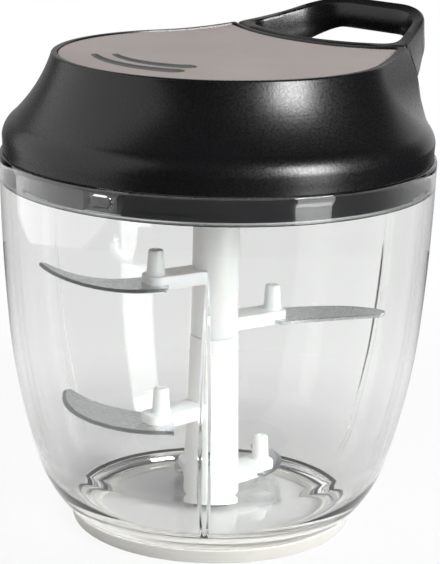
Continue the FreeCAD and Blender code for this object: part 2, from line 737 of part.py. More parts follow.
# ---- Mechanism in the lid -------------------------------------------------------------

def make_reel():
    reel = turned("reel", [
        (dim.axle_radius + dim.running_gap, dim.reel_bottom),
        (dim.reel_hub_radius, dim.reel_bottom),
        (dim.reel_hub_radius, dim.reel_web_bottom),
        (dim.reel_flange_radius, dim.reel_web_bottom),
        (dim.reel_flange_radius, dim.reel_flange_top),
        (dim.drum_radius, dim.reel_flange_top),
        (dim.drum_radius, dim.reel_rim_bottom),
        (dim.reel_flange_radius, dim.reel_rim_bottom),
        (dim.reel_flange_radius, dim.reel_top),
        (dim.cavity_radius, dim.reel_top),
        (dim.cavity_radius, dim.cavity_floor),
        (dim.axle_radius + dim.running_gap, dim.cavity_floor),
    ])
    tooth = box_outline(dim.tooth_inner_radius, dim.tooth_outer_radius,
                        dim.reel_tooth_bottom, dim.reel_web_bottom + 0.1)
    sector(reel, "Revolution", "reel_tooth", tooth, 0, dim.tooth_sweep, dim.tooth_count)
    return reel


def make_clutch_plate():
    plate = new_body("clutch_plate")
    disc = sketch_on(plate, "plate_disc", "XY_Plane", dim.plate_bottom)
    draw_circle(disc, dim.tooth_outer_radius)
    draw(disc, hexagon(dim.hex_half_width + dim.running_gap))
    pad(plate, disc, dim.plate_top - dim.plate_bottom)
    tooth = box_outline(dim.tooth_inner_radius, dim.tooth_outer_radius - 0.1,
                        dim.plate_top - 0.1, dim.plate_tooth_top)
    half_pitch = Size(180) / dim.tooth_count
    sector(plate, "Revolution", "plate_tooth", tooth, half_pitch, dim.tooth_sweep,
           dim.tooth_count)
    return plate


def make_drive_shaft():
    bore = dim.axle_radius + dim.running_gap
    shaft = turned("drive_shaft", [
        (0, dim.cup_ceiling),
        (dim.cup_bore_radius, dim.cup_ceiling),
        (dim.cup_bore_radius, dim.cup_bottom),
        (dim.cup_radius, dim.cup_bottom),
        (dim.cup_radius, dim.cup_top),
        (dim.shaft_radius, dim.cup_top),
        (dim.shaft_radius, dim.clip_bottom),
        (dim.clip_groove_radius, dim.clip_bottom),
        (dim.clip_groove_radius, dim.clip_top),
        (dim.shaft_radius, dim.clip_top),
        (dim.shaft_radius, dim.hex_bottom),
        (bore, dim.hex_bottom),
        (bore, dim.shaft_bore_bottom),
        (0, dim.shaft_bore_bottom),
    ])
    hex_plan = sketch_on(shaft, "shaft_hex", "XY_Plane", dim.hex_bottom)
    draw(hex_plan, hexagon(dim.hex_half_width))
    draw_circle(hex_plan, bore)
    pad(shaft, hex_plan, dim.hex_top - dim.hex_bottom)
    dog = box_outline(dim.dog_inner_radius, dim.cup_bore_radius + 0.3,
                      dim.dog_bottom, dim.cup_ceiling + 0.1)
    sector(shaft, "Revolution", "dog", dog, Size(180) / dim.lobe_count, dim.dog_sweep,
           dim.lobe_count)
    return shaft


def make_shaft_bush():
    bore = dim.shaft_radius + dim.running_gap
    bottom = dim.disc_bottom - 1
    return turned("shaft_bush", [
        (bore, bottom),
        (dim.bush_flange_radius, bottom),
        (dim.bush_flange_radius, dim.disc_bottom),
        (dim.bush_radius, dim.disc_bottom),
        (dim.bush_radius, dim.hub_top),
        (bore, dim.hub_top),
    ])


def make_retaining_ring():
    ring = turned("retaining_ring", box_outline(
        dim.clip_groove_radius, dim.clip_radius, dim.clip_bottom, dim.clip_top))
    gap = box_outline(dim.clip_groove_radius - 1, dim.clip_radius + 1,
                      dim.clip_bottom - 1, dim.clip_top + 1)
    sector(ring, "Groove", "clip_gap", gap, 0, dim.clip_gap_sweep)
    return ring


def make_clutch_spring():
    """The coil that pushes the clutch plate up against the reel."""
    wire = dim.coil_wire_radius
    low = dim.clip_top + wire
    rise = dim.plate_bottom - dim.clip_top - wire * 2
    helix = doc.addObject("Part::Helix", "coil_path")
    bind(helix, "Radius", dim.coil_radius)
    bind(helix, "Height", rise)
    bind(helix, "Pitch", rise / dim.coil_turns)
    bind(helix, "Placement.Base.z", low)
    section = doc.addObject("Part::Circle", "coil_section")
    section.Placement.Rotation = FreeCAD.Rotation(FreeCAD.Vector(1, 0, 0), 90)
    bind(section, "Radius", wire)
    bind(section, "Placement.Base.x", dim.coil_radius)
    bind(section, "Placement.Base.z", low)
    doc.recompute()
    coil = doc.addObject("Part::Sweep", "clutch_spring")
    coil.Label = "clutch_spring"
    coil.Sections = [section]
    coil.Spine = (helix, [])
    coil.Solid = True
    coil.Frenet = True
    return coil


def make_spring_arbor():
    return turned("spring_arbor", box_outline(
        dim.axle_radius, dim.arbor_radius, dim.arbor_bottom, dim.deck_underside))


def make_power_spring():
    """The flat spiral that winds the cord back, as half circles that grow by half a pitch."""
    strip = sheet.spring_strip
    step = sheet.spring_pitch / 2
    count = int(sheet.spring_half_turns)
    start = sheet.arbor_radius

    def half_circles(offset):
        arcs = []
        for turn in range(count):
            side = 1 if turn % 2 == 0 else -1
            near = side * (start + offset + turn * step)
            far = -side * (start + offset + (turn + 1) * step)
            middle = FreeCAD.Vector((near + far) / 2, side * abs(near - far) / 2, 0)
            arcs.append(Part.Arc(FreeCAD.Vector(near, 0, 0), middle, FreeCAD.Vector(far, 0, 0)))
        return [arc.toShape() for arc in arcs]

    inside = half_circles(0)
    outside = half_circles(strip)
    ends = [
        Part.makeLine(inside[0].firstVertex(True).Point, outside[0].firstVertex(True).Point),
        Part.makeLine(inside[-1].lastVertex(True).Point, outside[-1].lastVertex(True).Point),
    ]
    outline = Part.Wire(Part.__sortEdges__(inside + outside + ends))
    height = sheet.spring_top - sheet.spring_bottom
    spring = doc.addObject("Part::Feature", "power_spring")
    spring.Label = "power_spring"
    spring.Shape = Part.Face(outline).extrude(FreeCAD.Vector(0, 0, height))
    spring.Placement = FreeCAD.Placement(
        FreeCAD.Vector(0, 0, sheet.spring_bottom), FreeCAD.Rotation())
    return spring


# ---- Blade unit -----------------------------------------------------------------------

def make_columns():
    """Lower and upper column of the blade unit, before the blades are let into the arms."""
    lower = turned("lower_column", [
        (dim.lower_bore_radius, dim.lower_bottom),
        (dim.lower_radius, dim.lower_bottom),
        (dim.lower_top_radius, dim.seam_height),
        (dim.tenon_radius, dim.seam_height),
        (dim.tenon_radius, dim.tenon_top),
        (0, dim.tenon_top),
        (0, dim.pin_bore_top),
        (dim.pin_bore_radius, dim.pin_bore_top),
        (dim.pin_bore_radius, dim.lower_bore_top),
        (dim.lower_bore_radius, dim.lower_bore_top),
    ])
    upper = turned("upper_column", [
        (dim.tenon_radius, dim.seam_height),
        (dim.upper_radius, dim.seam_height),
        (dim.upper_radius, dim.column_top),
        (0, dim.column_top),
        (0, dim.tenon_room_top),
        (dim.tenon_radius, dim.tenon_room_top),
    ])
    # the lobes that the lid's drive cup turns
    between = box_outline(dim.core_radius, dim.upper_radius + 1,
                          dim.lobe_bottom, dim.column_top + 1)
    valley_sweep = Size(360) / dim.lobe_count - dim.lobe_sweep
    sector(upper, "Groove", "valley", between, Size(180) / dim.lobe_count, valley_sweep,
           dim.lobe_count)
    return {"lower": lower, "upper": upper}


def arm_outline(column_radius, end):
    half = dim.arm_half_width
    inner = column_radius - 1.5
    shoulder = end - dim.arm_corner
    flat = half - dim.arm_corner
    return [
        (inner, -half),
        (shoulder, -half, dim.arm_corner),
        (end, -flat),
        (end, flat, dim.arm_corner),
        (shoulder, half),
        (inner, half),
    ]


def make_dish(label, bend):
    """A thin turned plate, flat in the middle and bent towards its edge."""
    half = dim.blade_thickness / 2
    end = dim.bend_start + dim.bend_reach
    rise = dim.bend_curve - root(dim.bend_curve * dim.bend_curve
                                 - dim.bend_reach * dim.bend_reach)
    return turned(label, [
        (2, -half),
        (dim.bend_start, -half, dim.bend_curve * bend),
        (end, rise * bend - half),
        (end, rise * bend + half, -dim.bend_curve * bend),
        (dim.bend_start, half),
        (2, half),
    ])


def blade_outline(shape, hand):
    """A blunt-ended sickle blade along +X, with its tip swept to -Y when hand is 1."""
    scale = dim.floor_blade_scale if shape == "floor" else Size(1)
    kind = "hook" if shape == "hook" else "long"
    root_x = dim.blade_root * scale
    root_y = dim.blade_root_half_width * hand
    shoulder = dim.blade_shoulder * scale

    def point(name):
        across = getattr(dim, f"{kind}_{name}_x") * scale
        return across, getattr(dim, f"{kind}_{name}_y") * scale * hand

    def curve(side):
        return getattr(dim, f"{kind}_{side}_curve") * scale * hand

    return [
        (root_x, -root_y),
        (shoulder, -root_y),
        (*point("heel"), -curve("inner")),
        point("inner_tip"),
        (*point("outer_tip"), curve("outer")),
        point("cheek"),
        (shoulder, root_y),
        (root_x, root_y),
    ]


def make_blade(number, dishes):
    shape, hand, bend = ARMS[number][1:]
    label = f"blade_{number}"
    plan = prism(label + "_plan", blade_outline(shape, hand), -10, 20)
    plate = common(label + "_plate", dishes[bend], plan)
    hole = cylinder(label + "_hole", dim.peg_core_radius, -5, 5, dim.peg_circle)
    blade = cut(label, plate, hole)
    bottom = getattr(dim, f"arm_{number}_bottom")
    bind(blade, "Placement.Base.z", bottom + dim.blade_seat)
    bind(blade, "Placement.Rotation.Angle", getattr(dim, f"arm_{number}_azimuth"))
    return blade


def make_peg(number):
    bottom = getattr(dim, f"arm_{number}_bottom")
    azimuth = getattr(dim, f"arm_{number}_azimuth")
    x = dim.peg_circle * cosine(azimuth)
    y = dim.peg_circle * sine(azimuth)
    top = bottom + dim.arm_thickness
    core = cylinder(f"peg_core_{number}", dim.peg_core_radius, bottom, top, x, y)
    head = cylinder(f"peg_head_{number}", dim.peg_radius, top, top + dim.peg_height, x, y)
    return fuse(f"peg_{number}", core, head)


def make_blade_unit():
    columns = make_columns()
    dishes = {1: make_dish("dish_up", 1), -1: make_dish("dish_down", -1)}
    blades = {number: make_blade(number, dishes) for number in ARMS}
    pegs = {number: make_peg(number) for number in ARMS}
    carriers = []
    for name, column in columns.items():
        own = [number for number in ARMS if ARMS[number][0] == name]
        column_radius = getattr(dim, f"{name}_radius")
        for number in own:
            plan = sketch_on(column, f"arm_{number}", "XY_Plane",
                             getattr(dim, f"arm_{number}_bottom"),
                             getattr(dim, f"arm_{number}_azimuth"))
            draw(plan, arm_outline(column_radius, getattr(dim, f"arm_{number}_end")))
            pad(column, plan, dim.arm_thickness)
        pieces = [blades[number] for number in own] + [pegs[number] for number in own]
        carriers.append(cut(f"{name}_carrier", column, *pieces))
    return [*carriers, *blades.values(), group("blade_pins", list(pegs.values()))]


# ---- The whole object -----------------------------------------------------------------

def make_nodes():
    above_rim = above_sweep("above_rim", dim.rim_plane)
    return [
        make_bowl(),
        make_foot_ring(),
        cylinder("spindle_pin", dim.pin_radius, dim.pin_bottom, dim.pin_top),
        make_seal_ring(),
        make_lid_base(),
        make_cover_screws(),
        make_lid_shell(above_rim),
        make_grip_panel(),
        make_handle(above_rim),
        make_cord_knot(),
        make_knot_cap(),
        make_pull_cord(),
        make_cord_eyelet(),
        make_reel(),
        turned("cord_winding", box_outline(
            dim.drum_radius, dim.winding_radius, dim.reel_flange_top, dim.reel_rim_bottom)),
        make_clutch_plate(),
        make_clutch_spring(),
        make_drive_shaft(),
        make_shaft_bush(),
        make_retaining_ring(),
        cylinder("axle_pin", dim.axle_radius, dim.axle_bottom,
                 dim.panel_plane - dim.panel_thickness),
        make_spring_arbor(),
        make_power_spring(),
        *make_blade_unit(),
    ]


def check(nodes):
    """Stop before writing if any object failed or any node's shape isn't sound."""
    for thing in doc.Objects:
        if "Invalid" in thing.State or "Error" in thing.State:
            raise RuntimeError(f"{thing.Label} failed to recompute")
    for node in nodes:
        if node.Shape.isNull() or not node.Shape.isValid() or not node.Shape.Solids:
            raise RuntimeError(f"{node.Label} has no sound solid")


def report(nodes):
    for node in nodes:
        print(f"{node.Label}: {len(node.Shape.Solids)} solid, {node.Shape.Volume:.0f} mm3")
    cord = next(node for node in nodes if node.Label == "pull_cord")
    section = math.pi * sheet.cord_radius ** 2
    length = doc.getObject("cord_route").Shape.Length
    print(f"pull_cord: radius {sheet.cord_radius} mm, route {length:.2f} mm, "
          f"volume over section times length {cord.Shape.Volume / (section * length):.4f}")


nodes = make_nodes()
doc.recompute()
check(nodes)
report(nodes)
os.makedirs("parts", exist_ok=True)
for node in nodes:
    node.Shape.exportStep(f"parts/{node.Label}.step")
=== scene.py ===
import math

import bmesh
import bpy
from mathutils import Euler, Matrix, Vector


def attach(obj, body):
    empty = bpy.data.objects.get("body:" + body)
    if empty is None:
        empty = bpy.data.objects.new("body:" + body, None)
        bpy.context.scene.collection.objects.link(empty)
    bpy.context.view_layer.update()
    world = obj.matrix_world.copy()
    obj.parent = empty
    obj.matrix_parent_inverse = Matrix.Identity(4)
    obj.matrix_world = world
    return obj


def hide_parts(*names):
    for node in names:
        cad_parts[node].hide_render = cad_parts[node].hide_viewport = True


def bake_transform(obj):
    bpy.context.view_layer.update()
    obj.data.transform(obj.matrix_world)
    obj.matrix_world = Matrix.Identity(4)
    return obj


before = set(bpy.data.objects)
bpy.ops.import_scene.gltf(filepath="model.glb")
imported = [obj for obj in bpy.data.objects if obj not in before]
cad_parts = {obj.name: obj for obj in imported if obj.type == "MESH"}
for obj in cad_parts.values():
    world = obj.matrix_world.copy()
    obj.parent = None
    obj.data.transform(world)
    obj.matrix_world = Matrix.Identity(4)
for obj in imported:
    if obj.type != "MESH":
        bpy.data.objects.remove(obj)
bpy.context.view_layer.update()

MM = 0.001

# The axis of the bowl is Z, the table is Z = 0 and the handle is pulled towards +X. Angles are
# in degrees. Lengths are in millimetres, but those of the lamps and the floor are in metres.

# ---- Camera ----

PHOTO_HEIGHT = 564
FOCAL_PIXELS = 2082
SENSOR = 36
CAMERA_PLACE = (-431.1, -402.0, 230.1)
CAMERA_TILT = 74.95
CAMERA_TURN = -47.13
CAMERA_ROLL = 1.31


def make_camera():
    data = bpy.data.cameras.new("photo_camera")
    data.sensor_width = SENSOR
    data.lens = FOCAL_PIXELS * SENSOR / PHOTO_HEIGHT
    data.clip_start = 0.01
    data.clip_end = 50
    camera = bpy.data.objects.new("photo_camera", data)
    bpy.context.collection.objects.link(camera)
    aim = Euler((math.radians(CAMERA_TILT), 0, math.radians(CAMERA_TURN))).to_matrix()
    roll = Matrix.Rotation(math.radians(CAMERA_ROLL), 3, "Z")
    camera.matrix_world = Matrix.Translation(Vector(CAMERA_PLACE) * MM) @ (aim @ roll).to_4x4()
    bpy.context.scene.camera = camera


# ---- Light and floor, in metres ----

LAMP_TARGET = (0, 0, 0.08)
LAMP_DISTANCE = 1.3
# name, azimuth to the right of the camera, elevation, size and share of full light
LIGHTING = (
    ("key_light", 55, 34, 0.8, 0.80),
    ("front_light", 35, 8, 0.8, 0.24),
    ("left_light", -85, 28, 1.0, 0.06),
    ("back_light", 165, 62, 0.8, 0.24),
)
# name, azimuth, elevation, width, height, brightness, and whether glass shows it
REFLECTIONS = (
    ("left_panel", -90, 20, 2.4, 2.0, 1.0, True),
    ("window_top", 50, 26, 0.46, 0.62, 26, True),
    ("window_foot", 50, -0.5, 0.46, 0.58, 5, True),
    ("side_panel", 150, 10, 0.8, 0.8, 0.5, False),
)
FILL = 0.25
# Each grade has two marks and then the level at each of them. In the world, ROOM and BEHIND go
# by how far a ray runs the camera's way, AHEAD, and CEILING by how far it runs upwards.
AHEAD = (180, 8)
ROOM = (0.75, 0.97, 0.02, 0.46)
CEILING = (0.1, 0.6, 1.0, 0.42)
BEHIND = (-0.1, 0.5, 0.34, 1.0)
# The floor's grades go by the distance from the object.
FLOOR_RADIUS = 0.34
FLOOR_SIDES = 96
FLOOR_GREY = 0.68
MIRRORED = (0.1, 0.33, 0.9, 0.02)
THROUGH_GLASS = (0.04, 0.17, 0.0, 1.0)
TO_CAMERA = (0.12, 0.32, 0.9, 1.0)


def view_direction(azimuth, elevation):
    """Direction from the object to a place at an angle right of the camera."""
    turn = math.radians(CAMERA_TURN - 90 + azimuth)
    lift = math.radians(elevation)
    return Vector((math.cos(lift) * math.cos(turn), math.cos(lift) * math.sin(turn),
                   math.sin(lift)))


def add_softbox(name, azimuth, elevation, width, height, watts):
    """A rectangular lamp that faces the middle of the object."""
    target = Vector(LAMP_TARGET)
    data = bpy.data.lights.new(name, "AREA")
    data.shape = "RECTANGLE"
    data.size = width
    data.size_y = height
    data.energy = watts
    lamp = bpy.data.objects.new(name, data)
    bpy.context.collection.objects.link(lamp)
    lamp.location = target + view_direction(azimuth, elevation) * LAMP_DISTANCE
    lamp.rotation_euler = (target - lamp.location).to_track_quat("-Z", "Y").to_euler()
    lamp.visible_camera = False
    return lamp


def add_lighting(name, azimuth, elevation, size, level):
    """A soft lamp that lights without being reflected; level 1 alone would be full light."""
    watts = level * (math.pi * LAMP_DISTANCE) ** 2
    lamp = add_softbox(name, azimuth, elevation, size, size, watts)
    lamp.visible_glossy = False
    lamp.visible_transmission = False


def add_reflection(name, azimuth, elevation, width, height, brightness, in_glass):
    """A panel that is only reflected; brightness 1 is white."""
    watts = brightness * math.pi * width * height
    lamp = add_softbox(name, azimuth, elevation, width, height, watts)
    lamp.visible_diffuse = False
    lamp.visible_transmission = in_glass


def make_lights():
    for row in LIGHTING:
        add_lighting(*row)
    for row in REFLECTIONS:
        add_reflection(*row)


def light_path(nodes, ray):
    """1 for rays of the named kind, and 0 for the rest."""
    return nodes.new("ShaderNodeLightPath").outputs[ray]


def map_range(nodes, links, value, low, high, at_low, at_high, curve="LINEAR"):
    """A value that goes from one level to another between two marks."""
    spread = nodes.new("ShaderNodeMapRange")
    spread.interpolation_type = curve
    for socket, number in (("From Min", low), ("From Max", high), ("To Min", at_low),
                           ("To Max", at_high)):
        spread.inputs[socket].default_value = number
    links.new(value, spread.inputs["Value"])
    return spread.outputs["Result"]


def grade(nodes, links, value, marks):
    return map_range(nodes, links, value, *marks, "SMOOTHSTEP")


def math_node(nodes, links, operation, first, second):
    """Two values added or multiplied; the second one may be a plain number."""
    result = nodes.new("ShaderNodeMath")
    result.operation = operation
    links.new(first, result.inputs[0])
    if isinstance(second, float):
        result.inputs[1].default_value = second
    else:
        links.new(second, result.inputs[1])
    return result.outputs[0]


def mix_shaders(nodes, links, share, below, above):
    mix = nodes.new("ShaderNodeMixShader")
    links.new(share, mix.inputs["Fac"])
    links.new(below, mix.inputs[1])
    links.new(above, mix.inputs[2])
    return mix.outputs[0]


def make_world():
    """A white backdrop, a dark room for reflections, a grey ceiling in glass, and soft fill."""
    world = bpy.data.worlds.new("studio")
    bpy.context.scene.world = world
    world.use_nodes = True
    nodes = world.node_tree.nodes
    links = world.node_tree.links
    nodes.clear()
    place = nodes.new("ShaderNodeTexCoord")
    facing = nodes.new("ShaderNodeVectorMath")
    facing.operation = "DOT_PRODUCT"
    facing.inputs[1].default_value = view_direction(*AHEAD)
    links.new(place.outputs["Generated"], facing.inputs[0])
    split = nodes.new("ShaderNodeSeparateXYZ")
    links.new(place.outputs["Generated"], split.inputs["Vector"])
    room = grade(nodes, links, facing.outputs["Value"], ROOM)
    ceiling = grade(nodes, links, split.outputs["Z"], CEILING)
    behind = grade(nodes, links, facing.outputs["Value"], BEHIND)
    beyond = math_node(nodes, links, "MULTIPLY", ceiling, behind)
    shader = None
    # a ray refracted by glass counts as both glossy and transmitted, so transmission comes later
    for ray, strength in ((None, FILL), ("Is Glossy Ray", room), ("Is Transmission Ray", beyond),
                          ("Is Camera Ray", 1.0)):
        layer = nodes.new("ShaderNodeBackground")
        layer.inputs["Color"].default_value = (1, 1, 1, 1)
        if isinstance(strength, float):
            layer.inputs["Strength"].default_value = strength
        else:
            links.new(strength, layer.inputs["Strength"])
        above = layer.outputs[0]
        shader = mix_shaders(nodes, links, light_path(nodes, ray), shader, above) if ray else above
    output = nodes.new("ShaderNodeOutputWorld")
    links.new(shader, output.inputs["Surface"])


def make_floor():
    """A round white floor that keeps the object's shadow and fades into the backdrop."""
    mesh = bpy.data.meshes.new("floor")
    turns = [math.tau * i / FLOOR_SIDES for i in range(FLOOR_SIDES)]
    corners = [(FLOOR_RADIUS * math.cos(a), FLOOR_RADIUS * math.sin(a), 0) for a in turns]
    mesh.from_pydata(corners, [], [tuple(range(FLOOR_SIDES))])
    floor = bpy.data.objects.new("floor", mesh)
    bpy.context.collection.objects.link(floor)
    material = bpy.data.materials.new("floor_white")
    material.use_nodes = True
    nodes = material.node_tree.nodes
    links = material.node_tree.links
    nodes.clear()
    paint = nodes.new("ShaderNodeBsdfDiffuse")
    paint.inputs["Color"].default_value = (FLOOR_GREY, FLOOR_GREY, FLOOR_GREY, 1)
    glow = nodes.new("ShaderNodeEmission")
    glow.inputs["Strength"].default_value = 1.0
    place = nodes.new("ShaderNodeTexCoord")
    distance = nodes.new("ShaderNodeVectorMath")
    distance.operation = "LENGTH"
    links.new(place.outputs["Object"], distance.inputs[0])
    reach = distance.outputs["Value"]
    mirrored = nodes.new("ShaderNodeEmission")
    links.new(grade(nodes, links, reach, MIRRORED), mirrored.inputs["Strength"])
    shader = mix_shaders(nodes, links, light_path(nodes, "Is Glossy Ray"), paint.outputs[0],
                         mirrored.outputs[0])
    for ray, marks in (("Is Transmission Ray", THROUGH_GLASS), ("Is Camera Ray", TO_CAMERA)):
        lit = mix_shaders(nodes, links, grade(nodes, links, reach, marks), paint.outputs[0],
                          glow.outputs[0])
        shader = mix_shaders(nodes, links, light_path(nodes, ray), shader, lit)
    output = nodes.new("ShaderNodeOutputMaterial")
    links.new(shader, output.inputs["Surface"])
    mesh.materials.append(material)


# ---- Materials ----

# the range that noise mostly keeps to
NOISE_LOW = 0.3
NOISE_HIGH = 0.7
MOTTLE_SCALE = 60
TAUPE_STRETCH = (1.0, 0.22, 1.0)
CORD_BANDS = 900


def new_material(name, **sockets):
    """A Principled material with constant sockets, and its nodes and links."""
    material = bpy.data.materials.new(name)
    material.use_nodes = True
    nodes = material.node_tree.nodes
    shader = nodes["Principled BSDF"]
    for socket, value in sockets.items():
        shader.inputs[socket.replace("_", " ")].default_value = value
    return material, nodes, material.node_tree.links, shader


def object_noise(nodes, links, scale, detail=3.0, stretch=(1, 1, 1)):
    """Noise in the object's own space; scale is in features per metre."""
    place = nodes.new("ShaderNodeTexCoord")
    mapping = nodes.new("ShaderNodeMapping")
    mapping.inputs["Scale"].default_value = stretch
    noise = nodes.new("ShaderNodeTexNoise")
    noise.inputs["Scale"].default_value = scale
    noise.inputs["Detail"].default_value = detail
    links.new(place.outputs["Object"], mapping.inputs["Vector"])
    links.new(mapping.outputs["Vector"], noise.inputs["Vector"])
    return noise.outputs["Fac"]


def vary(nodes, links, value, low, high, target):
    """Drive a socket from noise, between two values."""
    links.new(map_range(nodes, links, value, NOISE_LOW, NOISE_HIGH, low, high), target)


def vary_color(nodes, links, value, dark, light, target):
    """Drive a socket from noise, between two colours."""
    ramp = nodes.new("ShaderNodeValToRGB")
    ramp.color_ramp.elements[0].position = NOISE_LOW
    ramp.color_ramp.elements[0].color = (*dark, 1)
    ramp.color_ramp.elements[1].position = NOISE_HIGH
    ramp.color_ramp.elements[1].color = (*light, 1)
    links.new(value, ramp.inputs["Fac"])
    links.new(ramp.outputs["Color"], target)


def add_bump(nodes, links, shader, value, strength, depth=0.1):
    bump = nodes.new("ShaderNodeBump")
    bump.inputs["Strength"].default_value = strength
    bump.inputs["Distance"].default_value = depth * MM
    links.new(value, bump.inputs["Height"])
    links.new(bump.outputs["Normal"], shader.inputs["Normal"])


def plastic(name, dark, light, rough, grain, bump=0.15, **sockets):
    """Moulded plastic with a slight mottle, an uneven gloss and a fine grain."""
    material, nodes, links, shader = new_material(name, **sockets)
    mottle = object_noise(nodes, links, MOTTLE_SCALE)
    fine = object_noise(nodes, links, grain, 2.0)
    vary_color(nodes, links, mottle, dark, light, shader.inputs["Base Color"])
    vary(nodes, links, fine, *rough, shader.inputs["Roughness"])
    add_bump(nodes, links, shader, fine, bump)
    return material


def make_taupe():
    material, nodes, links, shader = new_material("taupe_panel")
    grain = object_noise(nodes, links, 420, 4.0, TAUPE_STRETCH)
    clouds = object_noise(nodes, links, 38, 2.0)
    both = math_node(nodes, links, "ADD", grain, clouds)
    mean = math_node(nodes, links, "MULTIPLY", both, 0.5)
    vary_color(nodes, links, mean, (0.372, 0.328, 0.311), (0.455, 0.408, 0.389),
               shader.inputs["Base Color"])
    vary(nodes, links, grain, 0.45, 0.6, shader.inputs["Roughness"])
    add_bump(nodes, links, shader, grain, 0.2)
    return material


def make_clear(name, rough, tint):
    """Clear plastic; the faint unevenness of a moulding is in its gloss and surface."""
    material, nodes, links, shader = new_material(name, Transmission_Weight=1.0, IOR=1.49)
    shader.inputs["Base Color"].default_value = (*tint, 1)
    swirl = object_noise(nodes, links, 45, 1.0)
    vary(nodes, links, swirl, *rough, shader.inputs["Roughness"])
    add_bump(nodes, links, shader, swirl, 0.02, 0.2)
    return material


def make_steel(name, dark, light, rough):
    material, nodes, links, shader = new_material(name, Metallic=1.0)
    brush = object_noise(nodes, links, 220, 2.0)
    clouds = object_noise(nodes, links, 50)
    vary_color(nodes, links, clouds, dark, light, shader.inputs["Base Color"])
    vary(nodes, links, brush, *rough, shader.inputs["Roughness"])
    return material


def make_cord_fibre():
    material, nodes, links, shader = new_material("cord_fibre", Roughness=0.8)
    place = nodes.new("ShaderNodeTexCoord")
    wave = nodes.new("ShaderNodeTexWave")
    wave.bands_direction = "DIAGONAL"
    wave.inputs["Scale"].default_value = CORD_BANDS
    links.new(place.outputs["Object"], wave.inputs["Vector"])
    vary_color(nodes, links, wave.outputs["Fac"], (0.55, 0.55, 0.54), (0.80, 0.80, 0.79),
               shader.inputs["Base Color"])
    add_bump(nodes, links, shader, wave.outputs["Fac"], 0.4)
    return material


MATERIALS = {
    "black": plastic("black_plastic", (0.004, 0.004, 0.0045), (0.006, 0.006, 0.007),
                     (0.24, 0.33), 1500, 0.22),
    "gloss": plastic("black_gloss", (0.004, 0.004, 0.005), (0.006, 0.006, 0.007), (0.10, 0.16),
                     500, 0.03),
    "taupe": make_taupe(),
    "groove": plastic("groove_grey", (0.10, 0.10, 0.10), (0.14, 0.14, 0.138), (0.5, 0.65), 900),
    "milky": plastic("milky_plastic", (0.80, 0.80, 0.785), (0.85, 0.85, 0.84), (0.32, 0.42), 700,
                     0.05, Subsurface_Weight=0.15),
    "silicone": plastic("white_silicone", (0.78, 0.765, 0.71), (0.84, 0.83, 0.79), (0.45, 0.6),
                        900),
    "clear": make_clear("clear_plastic", (0.0, 0.03), (0.90, 0.905, 0.90)),
    # pale plastic on the lugs' outlines of the clear bowl: a painted highlight standing for the
    # light their edges catch
    "lug_highlight": plastic("lug_painted_highlight", (0.80, 0.82, 0.83), (0.88, 0.89, 0.90), (0.5, 0.6), 900),
    "seal": make_clear("clear_silicone", (0.35, 0.5), (0.9, 0.91, 0.91)),
    "blade": make_steel("blade_steel", (0.56, 0.57, 0.58), (0.62, 0.63, 0.64), (0.25, 0.29)),
    "ground": make_steel("ground_edge", (0.26, 0.27, 0.28), (0.34, 0.35, 0.36), (0.3, 0.42)),
    "pin": make_steel("pin_steel", (0.60, 0.60, 0.61), (0.66, 0.66, 0.67), (0.18, 0.28)),
    "spring": make_steel("spring_steel", (0.28, 0.30, 0.33), (0.36, 0.38, 0.42), (0.25, 0.4)),
    "acetal": plastic("reel_plastic", (0.68, 0.68, 0.66), (0.74, 0.74, 0.72), (0.35, 0.45), 700),
    "dark": plastic("clutch_plastic", (0.05, 0.052, 0.056), (0.07, 0.072, 0.076), (0.4, 0.5), 700),
    "bush": plastic("bush_plastic", (0.52, 0.48, 0.36), (0.58, 0.54, 0.42), (0.4, 0.5), 700),
    "brass": make_steel("eyelet_metal", (0.60, 0.45, 0.20), (0.68, 0.52, 0.26), (0.2, 0.3)),
    "cord": make_cord_fibre(),
}

# ---- Mesh tools ----

WELD_METRES = 1e-7
# how far the middle of a rounded edge is in from both sides, as a share of its radius
ROUND_EDGE = 0.3
# the largest share of a side that a fillet takes up
FILLET_SHARE = 0.49
# the least lean of a mitre, so that a sharp corner doesn't run far out
MITRE_LEAST = 0.5


def new_object(name, points, faces, material, body, slot, sharp=35):
    """A smooth-shaded object from points in millimetres, riding on a body."""
    mesh = bpy.data.meshes.new(name)
    mesh.from_pydata([(x * MM, y * MM, z * MM) for x, y, z in points], [], faces)
    tidy = bmesh.new()
    tidy.from_mesh(mesh)
    bmesh.ops.remove_doubles(tidy, verts=tidy.verts, dist=WELD_METRES)
    bmesh.ops.recalc_face_normals(tidy, faces=tidy.faces)
    tidy.to_mesh(mesh)
    tidy.free()
    mesh.polygons.foreach_set("use_smooth", [True] * len(mesh.polygons))
    mesh.set_sharp_from_angle(angle=math.radians(sharp))
    mesh.materials.append(MATERIALS[material])
    piece = bpy.data.objects.new(name, mesh)
    bpy.context.collection.objects.link(piece)
    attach(piece, body)
    return piece


def arc(start, end, radius, steps):
    """Points along the lesser arc between two points, without its last point.

    A positive radius bulges to the right of the way from start to end.
    """
    (x0, y0), (x1, y1) = start, end
    dx, dy = x1 - x0, y1 - y0
    length = math.hypot(dx, dy)
    rise = math.sqrt(max(radius * radius - length * length / 4, 0)) * (1 if radius > 0 else -1)
    cx = (x0 + x1) / 2 - dy / length * rise
    cy = (y0 + y1) / 2 + dx / length * rise
    first = math.atan2(y0 - cy, x0 - cx)
    last = math.atan2(y1 - cy, x1 - cx)
    turn = (last - first) % (2 * math.pi)
    if radius < 0:
        turn -= 2 * math.pi
    size = abs(radius)
    angles = [first + turn * i / steps for i in range(steps)]
    return [(cx + size * math.cos(a), cy + size * math.sin(a)) for a in angles]


